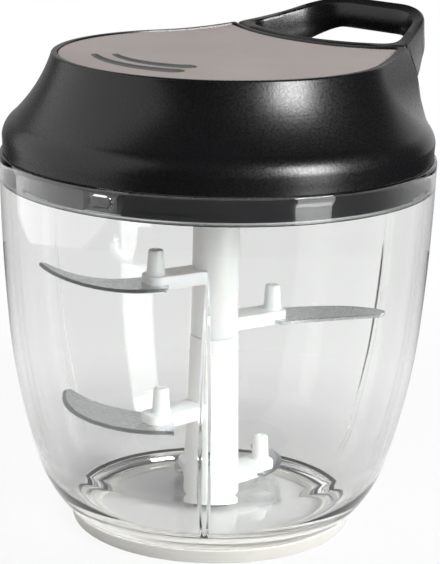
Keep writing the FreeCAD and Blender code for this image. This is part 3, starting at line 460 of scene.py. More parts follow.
def rounded(corners, steps=4):
    """A closed outline whose corners (x, y, fillet) are rounded off; (x, y) stays sharp."""
    outline = []
    count = len(corners)
    for i, corner in enumerate(corners):
        if len(corner) == 2 or corner[2] == 0:
            outline.append(corner[:2])
            continue
        here = Vector(corner[:2])
        back = Vector(corners[i - 1][:2]) - here
        ahead = Vector(corners[(i + 1) % count][:2]) - here
        half = back.angle(ahead) / 2
        most = FILLET_SHARE * min(back.length, ahead.length)
        reach = min(corner[2] / math.tan(half), most)
        size = reach * math.tan(half)
        start = here + back.normalized() * reach
        end = here + ahead.normalized() * reach
        centre = here + (back.normalized() + ahead.normalized()).normalized() * (
            size / math.sin(half))
        first = start - centre
        full = first.angle_signed(end - centre)
        for k in range(steps + 1):
            turned = first.copy()
            turned.rotate(Matrix.Rotation(-full * k / steps, 2))
            outline.append(tuple(centre + turned))
    return outline


def grid_faces(rows, columns, closed_rows=False):
    """Quads of a grid whose rows run round to their own start, as the columns may do too."""
    faces = []
    last = rows if closed_rows else rows - 1
    for i in range(last):
        for j in range(columns):
            k = (j + 1) % columns
            up = (i + 1) % rows
            faces.append((i * columns + j, i * columns + k, up * columns + k, up * columns + j))
    return faces


def close_ends(points, faces, count, z_first, z_last):
    """Fans from the first and the last row of a grid to the axis."""
    last = len(points) // count - 1
    for z, row in ((z_first, 0), (z_last, last)):
        centre = len(points)
        points.append((0, 0, z))
        for j in range(count):
            faces.append((centre, row * count + j, row * count + (j + 1) % count))


def polar(radius, azimuth, z):
    turn = math.radians(azimuth)
    return (radius * math.cos(turn), radius * math.sin(turn), z)


def turned_points(profile, count):
    return [polar(r, 360 * i / count, z) for r, z in profile for i in range(count)]


def lathe(profile, count):
    """Points and faces of a turned ring from a closed outline of (radius, height)."""
    return turned_points(profile, count), grid_faces(len(profile), count, closed_rows=True)


def solid_lathe(profile, count=96):
    """A turned solid whose outline starts and ends on the axis."""
    body = profile[1:-1]
    points = turned_points(body, count)
    faces = grid_faces(len(body), count)
    close_ends(points, faces, count, profile[0][1], profile[-1][1])
    return points, faces


def merge(*parts):
    """Several (points, faces) as one."""
    points, faces = [], []
    for some_points, some_faces in parts:
        base = len(points)
        points.extend(some_points)
        faces.extend(tuple(base + i for i in face) for face in some_faces)
    return points, faces


def move(part, dx=0, dy=0, dz=0, turn=0):
    """A (points, faces) pair turned about Z and then moved."""
    points, faces = part
    c, s = math.cos(math.radians(turn)), math.sin(math.radians(turn))
    return [(x * c - y * s + dx, x * s + y * c + dy, z + dz) for x, y, z in points], faces


def inset(outline, distance):
    """An outline moved inwards, to the left of the way it runs."""
    result = []
    count = len(outline)
    for i in range(count):
        before = Vector(outline[i - 1])
        here = Vector(outline[i])
        after = Vector(outline[(i + 1) % count])
        one = (here - before).normalized()
        two = (after - here).normalized()
        normal = Vector((-one.y - two.y, one.x + two.x)).normalized()
        lean = max(normal.dot(Vector((-one.y, one.x))), MITRE_LEAST)
        result.append(tuple(here + normal * distance / lean))
    return result


def slab(outline, bottom, top, bevel):
    """A flat piece with rounded edges above a plan outline that runs anticlockwise."""
    soft = bevel * ROUND_EDGE
    rings = [
        (inset(outline, bevel), bottom),
        (inset(outline, soft), bottom + soft),
        (outline, bottom + bevel),
        (outline, top - bevel),
        (inset(outline, soft), top - soft),
        (inset(outline, bevel), top),
    ]
    count = len(outline)
    points = [(x, y, z) for ring, z in rings for x, y in ring]
    faces = grid_faces(len(rings), count)
    faces.append(tuple(range(count - 1, -1, -1)))
    faces.append(tuple(range((len(rings) - 1) * count, len(rings) * count)))
    return points, faces


def smoothstep(low, high, value):
    t = min(max((value - low) / (high - low), 0), 1)
    return t * t * (3 - 2 * t)


def soft_min(a, b, width):
    """The lesser of two values, rounded off over a width."""
    mix = max(width - abs(a - b), 0) / width
    return min(a, b) - mix * mix * width / 4


def along(table, value):
    """Straight-line look-up in a rising table of (key, number)."""
    for (k0, v0), (k1, v1) in zip(table, table[1:]):
        if value <= k1:
            t = min(max((value - k0) / (k1 - k0), 0), 1)
            return v0 + (v1 - v0) * t
    return table[-1][1]


# ---- Bowl ----

COARSE_STEP = 2.0
RIM_TOP = 110.8
LEDGE = 103.0
RECESS = 61.5
RECESS_TOP = 110.4
RECESS_ROWS = 38
BOWL_FINE_STEP = 0.15
BOWL_FINE_REACH = 3.6
FLOOR_DISC = 35
RING_STEPS = 180
RIB_AZIMUTHS = (-19, 101, 221)
RIB_WIDTHS = [(10, 1.3), (24, 2.0), (55, 1.75), (80, 0.9), (92, 0.3)]
RIB_SIDE = 1.3
RIB_DEPTH = 0.5
RIB_FADES_UP = (66, 93)
RIB_FADES_IN = (40, 50)
LUG_AZIMUTHS = (73.3, 193.3, 313.3)
LUG_HALF_LENGTH = 3.5
LUG_HALF_HEIGHT = 1.7
LUG_MIDDLE = 107.3
LUG_DEPTH = 1.0
LUG_EDGE = 0.32


def angle_between(a, b):
    """The turn from b to a, from -180 up to 180."""
    return (a - b + 180) % 360 - 180


def fine_azimuths(coarse, fine, reach, centres):
    """Azimuths at a coarse step, and at a fine step near some centres."""
    marks = {round(i * coarse, 4) for i in range(round(360 / coarse))}
    for centre in centres:
        for k in range(int(-reach / fine), int(reach / fine) + 1):
            marks.add(round((centre + k * fine) % 360, 4))
    return sorted(marks)


def rib_depth(z, r):
    """How far a rib stands out of the wall."""
    return RIB_DEPTH * (1 - smoothstep(*RIB_FADES_UP, z)) * smoothstep(*RIB_FADES_IN, r)


def lug_edge(azimuth, r, z):
    """How far a point of the wall is inside a lug's outline; negative outside."""
    across = min(abs(angle_between(azimuth, centre)) for centre in LUG_AZIMUTHS)
    past = max(math.radians(across) * r - (LUG_HALF_LENGTH - LUG_HALF_HEIGHT), 0)
    return LUG_HALF_HEIGHT - math.hypot(past, z - LUG_MIDDLE)


def bowl_bump(azimuth, r, z):
    """How far a lug or a rib stands out at a point of the bowl's inside."""
    if z > LEDGE:
        return LUG_DEPTH * smoothstep(0, LUG_EDGE, lug_edge(azimuth, r, z))
    across = min(abs(angle_between(azimuth, centre)) for centre in RIB_AZIMUTHS)
    half = along(RIB_WIDTHS, z)
    side = smoothstep(half, half - min(RIB_SIDE, half), math.radians(across) * r)
    return rib_depth(z, r) * side


def bowl_outside():
    """Outer profile from the middle of the underside up to the rim."""
    profile = [(0, 2.2), (18, 2.2)]
    profile += [(35.7, 2.2), (36, 2.0), (36, 1.5), (36.1, 1.4), (39.9, 1.4), (40, 1.5)]
    profile += [(40, 4.2), (40.2, 4.4), (41.9, 4.4)]
    profile += arc((42.6, 4.7), (52.66, 22.7), 38, 16)
    profile += arc((52.66, 22.7), (60.5, 64.1), 190, 24)
    profile += arc((60.5, 64.1), (62.9, 110.0), 640, 24)
    profile += [(62.9, 110.1), (62.75, 110.6), (62.4, RIM_TOP)]
    return profile


def bowl_inside():
    """Inner profile from the rim down to the floor."""
    profile = [(61.8, RIM_TOP), (61.55, 110.6)]
    drop = (RECESS_TOP - LEDGE - 0.2) / RECESS_ROWS
    profile += [(RECESS, RECESS_TOP - drop * i) for i in range(RECESS_ROWS + 1)]
    profile += [(61.3, LEDGE), (60.4, LEDGE)]
    profile += arc((60.2, 102.8), (58.0, 64.1), -640, 26)
    profile += arc((58.0, 64.1), (50.3, 23.6), -187.5, 26)
    profile += arc((50.3, 23.6), (36, 5), -24, 22)
    profile += [(36, 5), (30, 4.95), (20, 4.95), (8, 4.95), (5.4, 5.0), (5.0, 5.4), (5, 6.7)]
    profile += [(4.7, 7), (2.2, 7), (2.05, 6.8), (2.05, 3.2), (0, 3.2)]
    return profile


def make_bowl():
    azimuths = fine_azimuths(COARSE_STEP, BOWL_FINE_STEP, BOWL_FINE_REACH,
                             RIB_AZIMUTHS + LUG_AZIMUTHS)
    count = len(azimuths)
    outside = bowl_outside()
    inside = bowl_inside()
    rows = outside[1:] + inside[:-1]
    points = []
    for i, (r, z) in enumerate(rows):
        before = Vector(rows[max(i - 1, 0)])
        after = Vector(rows[min(i + 1, len(rows) - 1)])
        way = (after - before).normalized()
        inwards = Vector((-way.y, way.x))
        bumps = i >= len(outside) - 1 and r > FLOOR_DISC
        for azimuth in azimuths:
            depth = bowl_bump(azimuth, r, z) if bumps else 0
            points.append(polar(r + inwards.x * depth, azimuth, z + inwards.y * depth))
    faces = grid_faces(len(rows), count)
    close_ends(points, faces, count, outside[0][1], inside[-1][1])
    bowl = new_object("bowl_clear", points, faces, "clear", "bowl", "clear_plastic", 30)
    # The faces along each lug's outline get the pale plastic: a painted highlight in place of the
    # light caught by the lug's edge.
    bowl.data.materials.append(MATERIALS["lug_highlight"])
    for face in bowl.data.polygons:
        x, y, z = (value / MM for value in face.center)
        azimuth = math.degrees(math.atan2(y, x))
        edge = lug_edge(azimuth, RECESS, z)
        if math.hypot(x, y) < RECESS + 0.1 and z > LEDGE + 1 and 0 < edge < LUG_EDGE:
            face.material_index = 1
    bowl.visible_shadow = False
    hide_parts("bowl")


def make_rings():
    foot = rounded([
        (34, 0, 0.3), (41.06, 0, 0.6), (42.5, 4.32, 0.2), (40.08, 4.32), (40.08, 1.32),
        (35.92, 1.32), (35.92, 2.12), (34, 2.12, 0.3),
    ])
    seal = rounded([
        (58.5, 103.05, 0.3), (61.2, 103.05, 0.2), (61.2, 104.05, 0.2), (58.5, 104.05, 0.3),
    ])
    for node, profile, material, body, slot in (
            ("foot_ring", foot, "silicone", "bowl", "white_silicone"),
            ("seal_ring", seal, "seal", "seal", "clear_silicone")):
        ring = new_object(f"{node}_soft", *lathe(profile, RING_STEPS), material, body, slot)
        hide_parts(node)


# ---- Lid ----

GAP_CENTRE = 112.8
GAP_RADIUS = 78
GAP_FLOOR = 130.0
RIM_PLANE = 139.2
PANEL_PLANE = 138.8
SWEEP_START = 20.3
SWEEP_RADIUS = 147
TOP_RADIUS = 48
FLANK_AZIMUTH = 65
RIM_WIDTH = 1.5
GAP_RIM_WIDTH = 1.2
NO_GAP = 1000
# the largest turn for which a straight side is still worked out
STEEPEST = 60
# where the lid's side leaves its round towards the horn
HORN_START = 118
HORN_FALL = (-22, 1)
HORN_MARGIN = 0.6
# how far two surfaces are rounded into each other
SIDE_BLEND = 1.6
WALL_BLEND = 0.8
TOP_BLEND = 1.0
# the shelf under the handle, which rises a little on its way in to the wall
SHELF_RISE = 0.3
SHELF_SHARES = (0.04, 0.3, 0.6, 0.9, 1.0)
WALL_ROWS = 14
TOP_FILLET = 0.7
CORNER_AZIMUTHS = (40, -40)
CORNER_STEP = 0.4
CORNER_REACH = 12
SHELL_CEILING = 135.2

SHELL_SIDE = (
    [(62.0, 111.1), (62.0, 113.5)] + arc((62.13, 115.7), (59.22, 120.9), 7.7, 12)
    + arc((59.22, 120.9), (48.2, 138.8), -45, 30) + [(48.2, 138.8), (48.0, 142), (47.8, 150)]
)
SHELL_RADII = [(z, r) for r, z in SHELL_SIDE]
HORN_X = [(118, 47.3), (126, 45.2), (133, 44.2), (142, 42.5), (150, 41)]
HORN_Y = [(118, 39.2), (126, 37.8), (133, 37.0), (142, 33.0), (150, 29.5)]


def sweep_rise(x):
    """How far the lid's top has swept up at X = x."""
    reach = max(x - SWEEP_START, 0)
    return SWEEP_RADIUS - math.sqrt(SWEEP_RADIUS ** 2 - reach ** 2)


def gap_radius(azimuth, radius=GAP_RADIUS):
    """Distance from the axis to the round gap between lid and handle."""
    turn = math.radians(angle_between(azimuth, 0))
    inside = radius ** 2 - (GAP_CENTRE * math.sin(turn)) ** 2
    if abs(turn) > math.pi / 2 or inside <= 0:
        return NO_GAP
    return GAP_CENTRE * math.cos(turn) - math.sqrt(inside)


def flank_radius(azimuth, z):
    """Distance from the axis to the lid's side, with its two flanks that reach to the horn."""
    r = along(SHELL_RADII, z)
    corner = math.hypot(along(HORN_X, z), along(HORN_Y, z))
    turn = abs(angle_between(azimuth, 0))
    if corner <= r or z < HORN_START:
        return r
    corner_turn = math.degrees(math.atan2(along(HORN_Y, z), along(HORN_X, z)))
    tangent = corner_turn + math.degrees(math.acos(r / corner))
    if turn >= tangent:
        return r
    line = r / math.cos(math.radians(min(tangent - turn, STEEPEST)))
    if z >= GAP_FLOOR:
        return line
    fall_start, fall_end = (corner_turn + turned for turned in HORN_FALL)
    fall = r + (corner + HORN_MARGIN - r) * smoothstep(fall_start, fall_end, turn)
    return soft_min(line, fall, SIDE_BLEND)


def top_radius(azimuth, inset_side, inset_gap):
    """The outline of the lid's top in plan, moved inwards."""
    turn = abs(angle_between(azimuth, 0))
    r = TOP_RADIUS - inset_side
    side = r / math.cos(math.radians(min(max(FLANK_AZIMUTH - turn, 0), STEEPEST)))
    return soft_min(side, gap_radius(azimuth, GAP_RADIUS + inset_gap), TOP_BLEND)


def shell_column(azimuth):
    """(radius, height) of the shell at one azimuth, from its foot up and over the rim."""
    levels = [z for _, z in SHELL_SIDE if z < GAP_FLOOR - SHELF_RISE] + [GAP_FLOOR - 0.25]
    column = [(flank_radius(azimuth, z), z) for z in levels]
    shelf = flank_radius(azimuth, GAP_FLOOR - 0.01)

    def wall(z):
        return soft_min(flank_radius(azimuth, z), gap_radius(azimuth), WALL_BLEND)

    start = GAP_FLOOR + SHELF_RISE
    for t in SHELF_SHARES:
        column.append((shelf + (wall(start) - shelf) * t, GAP_FLOOR + SHELF_RISE * t))
    edge = top_radius(azimuth, 0, 0)
    top = RIM_PLANE + sweep_rise(edge * math.cos(math.radians(azimuth)))
    for i in range(1, WALL_ROWS + 1):
        z = start + (top - TOP_FILLET - start) * i / WALL_ROWS
        column.append((wall(z), z))
    shoulder = column[-1][0]
    for t in (25, 50, 75):
        c, s = math.cos(math.radians(t)), math.sin(math.radians(t))
        column.append((shoulder - TOP_FILLET * (1 - c), top - TOP_FILLET * (1 - s)))
    rim_outer = shoulder - TOP_FILLET
    inner = top_radius(azimuth, RIM_WIDTH, GAP_RIM_WIDTH)
    return column + [
        (rim_outer, top), (max(inner + 0.3, (rim_outer + inner) / 2), top),
        (inner + 0.12, top - 0.05), (inner, top - 0.25), (inner, top - 1.9),
        (inner * 0.97, top - 2.0),
    ]


def make_lid_shell():
    azimuths = fine_azimuths(COARSE_STEP, CORNER_STEP, CORNER_REACH, CORNER_AZIMUTHS)
    count = len(azimuths)
    inner_side = [
        (27.5, SHELL_CEILING), (28.0, 134.8), (28.0, 128.2), (28.5, 127.7), (50.0, 127.5),
        (57.0, 120.9), (59.8, 115.5), (59.8, 111.1),
    ]
    columns = [inner_side + shell_column(azimuth) for azimuth in azimuths]
    points = [polar(r, azimuth, z) for ring in zip(*columns)
              for azimuth, (r, z) in zip(azimuths, ring)]
    faces = grid_faces(len(columns[0]), count)
    close_ends(points, faces, count, SHELL_CEILING, PANEL_PLANE - 1.6)
    shell = new_object("lid_shell_skin", points, faces, "black", "lid", "black_plastic", 32)
    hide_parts("lid_shell")


PANEL_CLEARANCE = 0.15
PANEL_THICKNESS = 1.55
# how far each row of the panel's rounded edge is down and in
PANEL_EDGE = ((0.5, 0), (0.2, 0.08), (0.05, 0.25))
PANEL_FLAT_INSET = 0.6
PANEL_ROWS = 240
# each groove's radius at its first and last azimuth
GROOVES = ((36.0, 33.2), (30.1, 25.0))
GROOVE_ENDS = (141, 200)
GROOVE_HALF_WIDTHS = (1.0, 3.3)
GROOVE_DEPTH = 0.5
GROOVE_SIDE = (-0.2, 0.6)
GROOVE_PAINT_EDGE = -0.05
GROOVE_MIDDLE = 173
GROOVE_STEP = 0.3
GROOVE_REACH = 34


def groove_edge(azimuth, r):
    """How far a point of the panel is inside a finger groove; negative outside."""
    first, last = GROOVE_ENDS
    turn = azimuth % 360
    share = min(max((turn - first) / (last - first), 0), 1)
    past = math.radians(max(first - turn, turn - last, 0)) * r
    narrow, wide = GROOVE_HALF_WIDTHS
    half = narrow + (wide - narrow) * share
    return max(half - math.hypot(r - (start + (end - start) * share), past)
               for start, end in GROOVES)


def make_grip_panel():
    at_grooves = fine_azimuths(COARSE_STEP, GROOVE_STEP, GROOVE_REACH, (GROOVE_MIDDLE,))
    azimuths = sorted({*at_grooves, *fine_azimuths(90, 0.5, 10, CORNER_AZIMUTHS)})
    points = []

    def add_row(inset_by, share, drop):
        for azimuth in azimuths:
            r = share * top_radius(azimuth, RIM_WIDTH + inset_by, GAP_RIM_WIDTH + inset_by)
            sink = drop(azimuth, r) if callable(drop) else drop
            points.append(polar(r, azimuth, PANEL_PLANE
                                + sweep_rise(r * math.cos(math.radians(azimuth))) - sink))

    def groove_sink(azimuth, r):
        return GROOVE_DEPTH * smoothstep(*GROOVE_SIDE, groove_edge(azimuth, r))

    for share in (0.5, 1.0):
        add_row(PANEL_CLEARANCE, share, PANEL_THICKNESS)
    for drop, back in PANEL_EDGE:
        add_row(PANEL_CLEARANCE + back, 1, drop)
    for i in range(PANEL_ROWS, 0, -1):
        add_row(PANEL_FLAT_INSET, i / PANEL_ROWS, groove_sink)
    count = len(azimuths)
    faces = grid_faces(len(points) // count, count)
    close_ends(points, faces, count, PANEL_PLANE - PANEL_THICKNESS, PANEL_PLANE)
    panel = new_object("grip_panel_skin", points, faces, "taupe", "lid", "taupe_panel", 32)
    panel.data.materials.append(MATERIALS["groove"])
    for face in panel.data.polygons:
        x, y, z = (value / MM for value in face.center)
        azimuth = math.degrees(math.atan2(y, x))
        if z > PANEL_PLANE - 1 and groove_edge(azimuth, math.hypot(x, y)) > GROOVE_PAINT_EDGE:
            face.material_index = 1
    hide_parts("grip_panel")


# ---- Handle ----

HANDLE_TIP = 71.2
HANDLE_CORNER = 17
HANDLE_WALL = 3.4
HANDLE_GAP = 0.6
HANDLE_BAR = 2.8
HANDLE_BOTTOM = 131.0
RISE_START = 48
RISE_RADIUS = 27
RISE_END = 67.5
RISE_SLOPE = 0.25
# steps along the near bar, its corner, the side, the bend and the tip
HANDLE_STEPS = (16, 8, 16, 18, 8)
HANDLE_EDGE = 0.9
HANDLE_ROUND = 0.28 * HANDLE_EDGE
FLARE_LEAST = 0.5
FLARE_MORE = 3.2
FLARE_FADE = (42, 64)
FLARE_BAR_END = 46
FLARE_SIDE = (30.5, 33.0)
FLARE_CURVE = 1.3
FOOT_TUCK = 0.8
INNER_TUCK = 0.5
TUCK_REACH = 0.12


def handle_outline(side_inset, gap_inset, corner_fillet):
    """Half of the handle's plan outline from the middle of the near bar to the tip's middle.

    Returns points at Y >= 0, in the same number whatever the insets are.
    """
    distance = TOP_RADIUS - side_inset
    tip = HANDLE_TIP - side_inset
    corner = HANDLE_CORNER - side_inset
    near = GAP_RADIUS - gap_inset
    lean = math.radians(90 - FLANK_AZIMUTH)

    def flank(x):
        return (distance - x * math.sin(lean)) / math.cos(lean)

    x = 40.0
    for _ in range(30):  # closes in on the place where the side meets the gap
        x = GAP_CENTRE - math.sqrt(near ** 2 - flank(x) ** 2)
    bar_end = Vector((x, flank(x)))
    setback = corner * math.tan(math.radians(FLANK_AZIMUTH / 2))
    meeting = flank(tip)
    side_end = (tip - setback * math.cos(lean), meeting + setback * math.sin(lean))
    tip_start = (tip, meeting - setback)
    bar_turn = math.asin((bar_end.y - corner_fillet) / near)

    def on_bar(turn):
        return (GAP_CENTRE - near * math.cos(turn), near * math.sin(turn))

    bar_steps, corner_steps, side_steps, bend_steps, tip_steps = HANDLE_STEPS
    outline = [on_bar(bar_turn * i / bar_steps) for i in range(bar_steps)]
    bar_stop = Vector(on_bar(bar_turn))
    side_start_x = bar_end.x + corner_fillet * 1.2
    side_start = Vector((side_start_x, flank(side_start_x)))
    for i in range(corner_steps):
        t = i / corner_steps
        outline.append(tuple(bar_stop.lerp(bar_end, t).lerp(bar_end.lerp(side_start, t), t)))
    for i in range(side_steps):
        outline.append(tuple(side_start.lerp(Vector(side_end), i / side_steps)))
    outline += arc(side_end, tip_start, -corner, bend_steps)
    outline += [(tip, tip_start[1] * (1 - i / tip_steps)) for i in range(tip_steps + 1)]
    return outline


def full_outline(half):
    """Both halves of an outline that is mirrored in Y = 0."""
    return half + [(x, -y) for x, y in reversed(half[1:-1])]


def handle_bottom(x):
    """Height of the handle's underside, which rises in an arc and then on a slope."""
    reach = min(max(x - RISE_START, 0), RISE_END - RISE_START)
    rise = RISE_RADIUS - math.sqrt(RISE_RADIUS ** 2 - reach ** 2)
    return HANDLE_BOTTOM + rise + max(x - RISE_END, 0) * RISE_SLOPE


def handle_flare(x, y):
    """How far the handle's foot stands out at a point of its outline."""
    on_side = smoothstep(*FLARE_SIDE, abs(y)) if x < FLARE_BAR_END else 1
    return on_side * (FLARE_LEAST + FLARE_MORE * (1 - smoothstep(*FLARE_FADE, x)))


def outward_normals(outline):
    """Normals in plan of a closed outline that runs clockwise."""
    ways = [Vector(after) - Vector(before) for after, before in
            zip(outline[1:] + outline[:1], outline[-1:] + outline[:-1])]
    return [Vector((-way.y, way.x)).normalized() for way in ways]


def handle_section(outer, inner, normal):
    """One section of the loop: up its outer wall, over the top and down its inner wall."""
    flare = handle_flare(*outer)
    outer, inner = Vector(outer), Vector(inner)
    unit = (inner - outer).normalized()
    out_top = RIM_PLANE + sweep_rise(outer.x)
    in_top = RIM_PLANE + sweep_rise(inner.x)
    out_low, in_low = handle_bottom(outer.x), handle_bottom(inner.x)
    section = []
    for t in (0.0, TUCK_REACH, 0.45, 0.75):
        tuck = FOOT_TUCK * (1 - smoothstep(0, TUCK_REACH, t))
        place = outer + normal * (flare * (1 - t) ** FLARE_CURVE - tuck)
        section.append((*place, out_low + (out_top - out_low - HANDLE_EDGE) * t))
    section += [
        (*outer, out_top - HANDLE_EDGE),
        (*(outer + unit * HANDLE_ROUND), out_top - HANDLE_ROUND),
        (*(outer + unit * HANDLE_EDGE), out_top),
        (*(inner - unit * HANDLE_EDGE), in_top),
        (*(inner - unit * HANDLE_ROUND), in_top - HANDLE_ROUND),
        (*inner, in_top - HANDLE_EDGE),
    ]
    for t in (0.5, TUCK_REACH, 0.0):
        tuck = INNER_TUCK * (1 - smoothstep(0, TUCK_REACH, t))
        section.append((*(inner - unit * tuck), in_low + (in_top - HANDLE_EDGE - in_low) * t))
    return section


def make_handle():
    outer = full_outline(handle_outline(-0.3, HANDLE_GAP, 1.2))
    inner = full_outline(handle_outline(HANDLE_WALL, HANDLE_GAP + HANDLE_BAR, 5.0))
    sections = [handle_section(*places) for places in zip(outer, inner, outward_normals(outer))]
    points = [point for row in zip(*sections) for point in row]
    loop = (points, grid_faces(len(sections[0]), len(outer), closed_rows=True))
    boss = slab([(37.2, -5), (42.0, -5), (43.0, -4), (43.0, 4), (42.0, 5), (37.2, 5)],
                HANDLE_BOTTOM, 137.0, 0.8)
    handle = new_object("handle_loop", *merge(loop, boss), "black", "handle",
                        "black_plastic", 35)
    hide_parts("handle", "knot_cap")


# ---- Blade unit ----

ARMS = {
    # azimuth, bottom of the arm, its end, blade's shape, side it sweeps to, way its tip bends
    1: (166, 72.8, 23.8, "long", 1, 1),
    2: (346, 57.2, 24, "long", 1, 1),
    3: (176, 32.2, 26, "hook", 1, 1),
    4: (356, 8.5, 23.6, "floor", -1, -1),
    5: (60, 6.5, 23.6, "floor", 1, 1),
}
ARM_HEIGHT = 4.1
ARM_HALF_WIDTH = 4.4
ARM_CORNER = 3
BLADE_SEAT = 1.1
PEG_CIRCLE = 20.5
PEG_RADIUS = 2.6
PEG_TOP_RADIUS = 2.25
PEG_HEIGHT = 7.3
LOWER_RADIUS = 8.3
LOWER_TOP_RADIUS = 7.1
UPPER_RADIUS = 6.9
SEAM = 56.0
# the blades at the floor are long ones made smaller
FLOOR_SCALE = 0.76
BLADE_THICKNESS = 1.0
BLADE_STATIONS = 40
BLADE_ROUND = 0.12
CUTTING_EDGE = 0.1
BEVEL_WIDTH = 2.2
LOBE_AZIMUTHS = (0, 120, 240)
BEND_START = 28
BEND_RADIUS = 76
BLADES = {
    # heel, inner tip, radius of the inner edge, outer tip, cheek, radius of the outer edge
    "long": ((20, -7), (43.5, -23.5), 26, (46.8, -21.2), (22, 8.5), 27),
    "hook": ((21, -10), (26.5, -34.5), 58, (31.5, -32.5), (25, 11), 28),
}
BLADES["floor"] = BLADES["long"]
BLADE_ROOT = [((12, 3.5), (12, -3.5)), ((18, 3.5), (18, -3.5))]


def arm_part(number, column_radius):
    azimuth, bottom, end = ARMS[number][:3]
    half = ARM_HALF_WIDTH
    outline = rounded([
        (column_radius - 2, -half), (end, -half, ARM_CORNER), (end, half, ARM_CORNER),
        (column_radius - 2, half),
    ], 10)
    return move(slab(outline, bottom, bottom + ARM_HEIGHT, 0.5), turn=azimuth)


def make_carriers():
    lower = solid_lathe([
        (0, 24.1), (2.05, 24.1), (2.05, 8.0), (5.3, 8.0), (5.5, 7.8), (5.5, 7.1), (5.7, 6.9),
        (7.8, 6.9), (8.2, 7.2), (LOWER_RADIUS, 7.8),
        (LOWER_TOP_RADIUS, SEAM - 0.4), (LOWER_TOP_RADIUS - 0.1, SEAM - 0.1),
        (LOWER_TOP_RADIUS - 0.4, SEAM), (0, SEAM),
    ])
    upper = solid_lathe([
        (0, SEAM + 0.05), (6.3, SEAM + 0.05), (6.7, SEAM + 0.25), (UPPER_RADIUS, SEAM + 0.7),
        (UPPER_RADIUS, 75), (UPPER_RADIUS, 95.4), (6.6, 95.8), (4.8, 95.9), (4.6, 96.1),
        (4.6, 101.6), (4.2, 102), (0, 102),
    ])
    lobe = slab(rounded([(4.0, -1.7), (6.7, -1.8, 0.4), (6.7, 1.8, 0.4), (4.0, 1.7)]),
                95.5, 101.8, 0.3)
    lobes = [move(lobe, turn=azimuth) for azimuth in LOBE_AZIMUTHS]
    for name, column, radius, numbers, extra in (
            ("lower", lower, LOWER_RADIUS, (3, 4, 5), []),
            ("upper", upper, UPPER_RADIUS, (1, 2), lobes)):
        parts = [column] + [arm_part(number, radius) for number in numbers] + extra
        carrier = new_object(f"{name}_carrier_moulding", *merge(*parts), "milky", "blades",
                             "milky_plastic", 40)
        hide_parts(f"{name}_carrier")


def make_pegs():
    parts = []
    for azimuth, bottom, *_ in ARMS.values():
        top = bottom + ARM_HEIGHT
        peg = solid_lathe([
            (0, top - 0.5), (PEG_RADIUS + 0.5, top - 0.4), (PEG_RADIUS + 0.35, top + 0.1),
            (PEG_RADIUS + 0.08, top + 0.5), (PEG_RADIUS, top + 1.0),
            (PEG_TOP_RADIUS, top + PEG_HEIGHT - 0.7),
            (PEG_TOP_RADIUS - 0.2, top + PEG_HEIGHT - 0.2),
            (PEG_TOP_RADIUS - 0.7, top + PEG_HEIGHT), (0.9, top + PEG_HEIGHT),
            (0.7, top + PEG_HEIGHT - 0.3), (0, top + PEG_HEIGHT - 0.35),
        ], 48)
        parts.append(move(peg, *polar(PEG_CIRCLE, azimuth, 0)))
    pegs = new_object("blade_pin_pegs", *merge(*parts), "milky", "blades", "milky_plastic", 40)
    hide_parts("blade_pins")


def blade_bend(radius, bend):
    """How far a blade has bent up or down at a distance from the axis."""
    reach = max(radius - BEND_START, 0)
    return bend * (BEND_RADIUS - math.sqrt(BEND_RADIUS ** 2 - reach ** 2))


def blade_edges(shape):
    """The outer and inner edge of a blade from its root to its blunt end, in equal numbers."""
    heel, inner_tip, inner_radius, outer_tip, cheek, outer_radius = BLADES[shape]
    outer = arc(outer_tip, cheek, outer_radius, BLADE_STATIONS) + [cheek]
    outer.reverse()
    inner = arc(heel, inner_tip, -inner_radius, BLADE_STATIONS) + [inner_tip]
    middle = (Vector(outer_tip) + Vector(inner_tip)) / 2
    end = Vector(outer_tip) - Vector(inner_tip)
    along_end = end.normalized()
    out_of_end = Vector((along_end.y, -along_end.x))
    half_end = end.length / 2
    for share, reach in ((0.85, 0.35), (0.6, 0.7), (0.3, 0.9)):
        outer.append(tuple(middle + along_end * half_end * share + out_of_end * reach))
        inner.append(tuple(middle - along_end * half_end * share + out_of_end * reach))
    return BLADE_ROOT + list(zip(outer, inner))


def make_blade(number):
    """A sickle blade: flat steel with a bevel ground along its outer edge."""
    azimuth, bottom, _, shape, hand, bend = ARMS[number]
    scale = FLOOR_SCALE if shape == "floor" else 1
    middle = bottom + BLADE_SEAT
    half = BLADE_THICKNESS / 2
    points = []
    rows = [(Vector(a) * scale, Vector(b) * scale) for a, b in blade_edges(shape)]
    for index, (out_point, in_point) in enumerate(rows):
        width = (out_point - in_point).length
        across = (in_point - out_point) / width
        sharp = index > len(BLADE_ROOT)
        bevel = min(BEVEL_WIDTH * scale, width * 0.4) if sharp else BLADE_ROUND
        edge = CUTTING_EDGE if sharp else half - BLADE_ROUND
        section = [
            (out_point, edge), (out_point + across * bevel, half),
            (in_point - across * BLADE_ROUND, half), (in_point, half - BLADE_ROUND),
        ]
        for side, ordered in ((1, section), (-1, section[::-1])):
            for point, lift in ordered:
                rise = blade_bend(point.length, bend)
                points.append((point.x, point.y * hand, middle + rise + side * lift))
    ring = 8
    last = (len(rows) - 1) * ring
    faces = grid_faces(len(rows), ring)
    # the bevel's two faces and the cutting edge between them, from the end of the root on
    ground = {i * ring + j for i in range(len(BLADE_ROOT), len(rows) - 1) for j in (0, 6, 7)}
    faces.append(tuple(range(ring)))
    faces.append(tuple(last + j for j in reversed(range(ring))))
    points, faces = move((points, faces), turn=azimuth)
    blade = new_object(f"blade_{number}_ground", points, faces, "blade", "blades",
                       "blade_steel", 4)
    blade.data.materials.append(MATERIALS["ground"])
    for face in blade.data.polygons:
        if face.index in ground:
            face.material_index = 1
    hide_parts(f"blade_{number}")


# ---- Cord ----

CORD_RADIUS = 0.8
CORD_LEVEL = 133.0
CORD_ROUTE = ((14.1, -15.0), (22.3, -7.6), (30.6, 0), (34.5, 0), (39.4, 0))


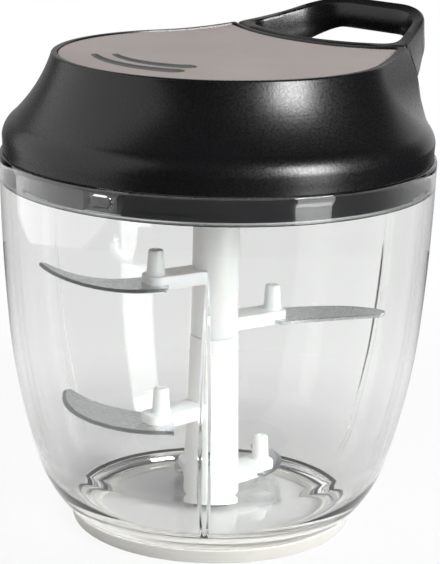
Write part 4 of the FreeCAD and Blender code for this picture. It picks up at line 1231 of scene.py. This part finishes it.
def make_pull_cord():
    """The run of cord from reel to knot; it stretches out behind the handle."""
    route = [Vector((x, y, CORD_LEVEL)) * MM for x, y in CORD_ROUTE]
    curve = bpy.data.curves.new("pull_cord_run", "CURVE")
    curve.dimensions = "3D"
    curve.bevel_depth = CORD_RADIUS * MM
    curve.bevel_resolution = 4
    curve.use_fill_caps = True
    spline = curve.splines.new("NURBS")
    spline.points.add(len(route) - 1)
    for point, place in zip(spline.points, route):
        point.co = (*place, 1)
    spline.order_u = 3
    spline.use_endpoint_u = True
    cord = bpy.data.objects.new("pull_cord_run", curve)
    bpy.context.collection.objects.link(cord)
    depsgraph = bpy.context.evaluated_depsgraph_get()
    mesh = bpy.data.meshes.new_from_object(cord.evaluated_get(depsgraph))
    mesh.name = "pull_cord_mesh"
    bpy.data.objects.remove(cord)
    piece = bpy.data.objects.new("pull_cord_run", mesh)
    bpy.context.collection.objects.link(piece)
    mesh.materials.clear()
    mesh.materials.append(MATERIALS["cord"])
    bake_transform(piece)
    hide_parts("pull_cord")


# ---- CAD nodes that keep their own shape ----

NODE_MATERIALS = {
    "spindle_pin": "pin", "lid_base": "gloss", "cover_screws": "pin", "axle_pin": "pin",
    "power_spring": "spring", "spring_arbor": "dark", "shaft_bush": "bush",
    "cord_eyelet": "brass", "cord_knot": "cord", "reel": "acetal", "cord_winding": "cord",
    "clutch_plate": "dark", "clutch_spring": "spring", "drive_shaft": "milky",
    "retaining_ring": "spring",
}


def dress_nodes():
    for node, material in NODE_MATERIALS.items():
        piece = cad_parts[node]
        if piece.material_slots:
            for holder in piece.material_slots:
                holder.link = "OBJECT"
                holder.material = MATERIALS[material]
        else:
            piece.data.materials.append(MATERIALS[material])


# ---- The scene ----

make_camera()
make_lights()
make_world()
make_floor()
make_bowl()
make_rings()
make_lid_shell()
make_grip_panel()
make_handle()
make_carriers()
make_pegs()
for number in ARMS:
    make_blade(number)
make_pull_cord()
dress_nodes()

bpy.context.scene.view_settings.view_transform = "Standard"
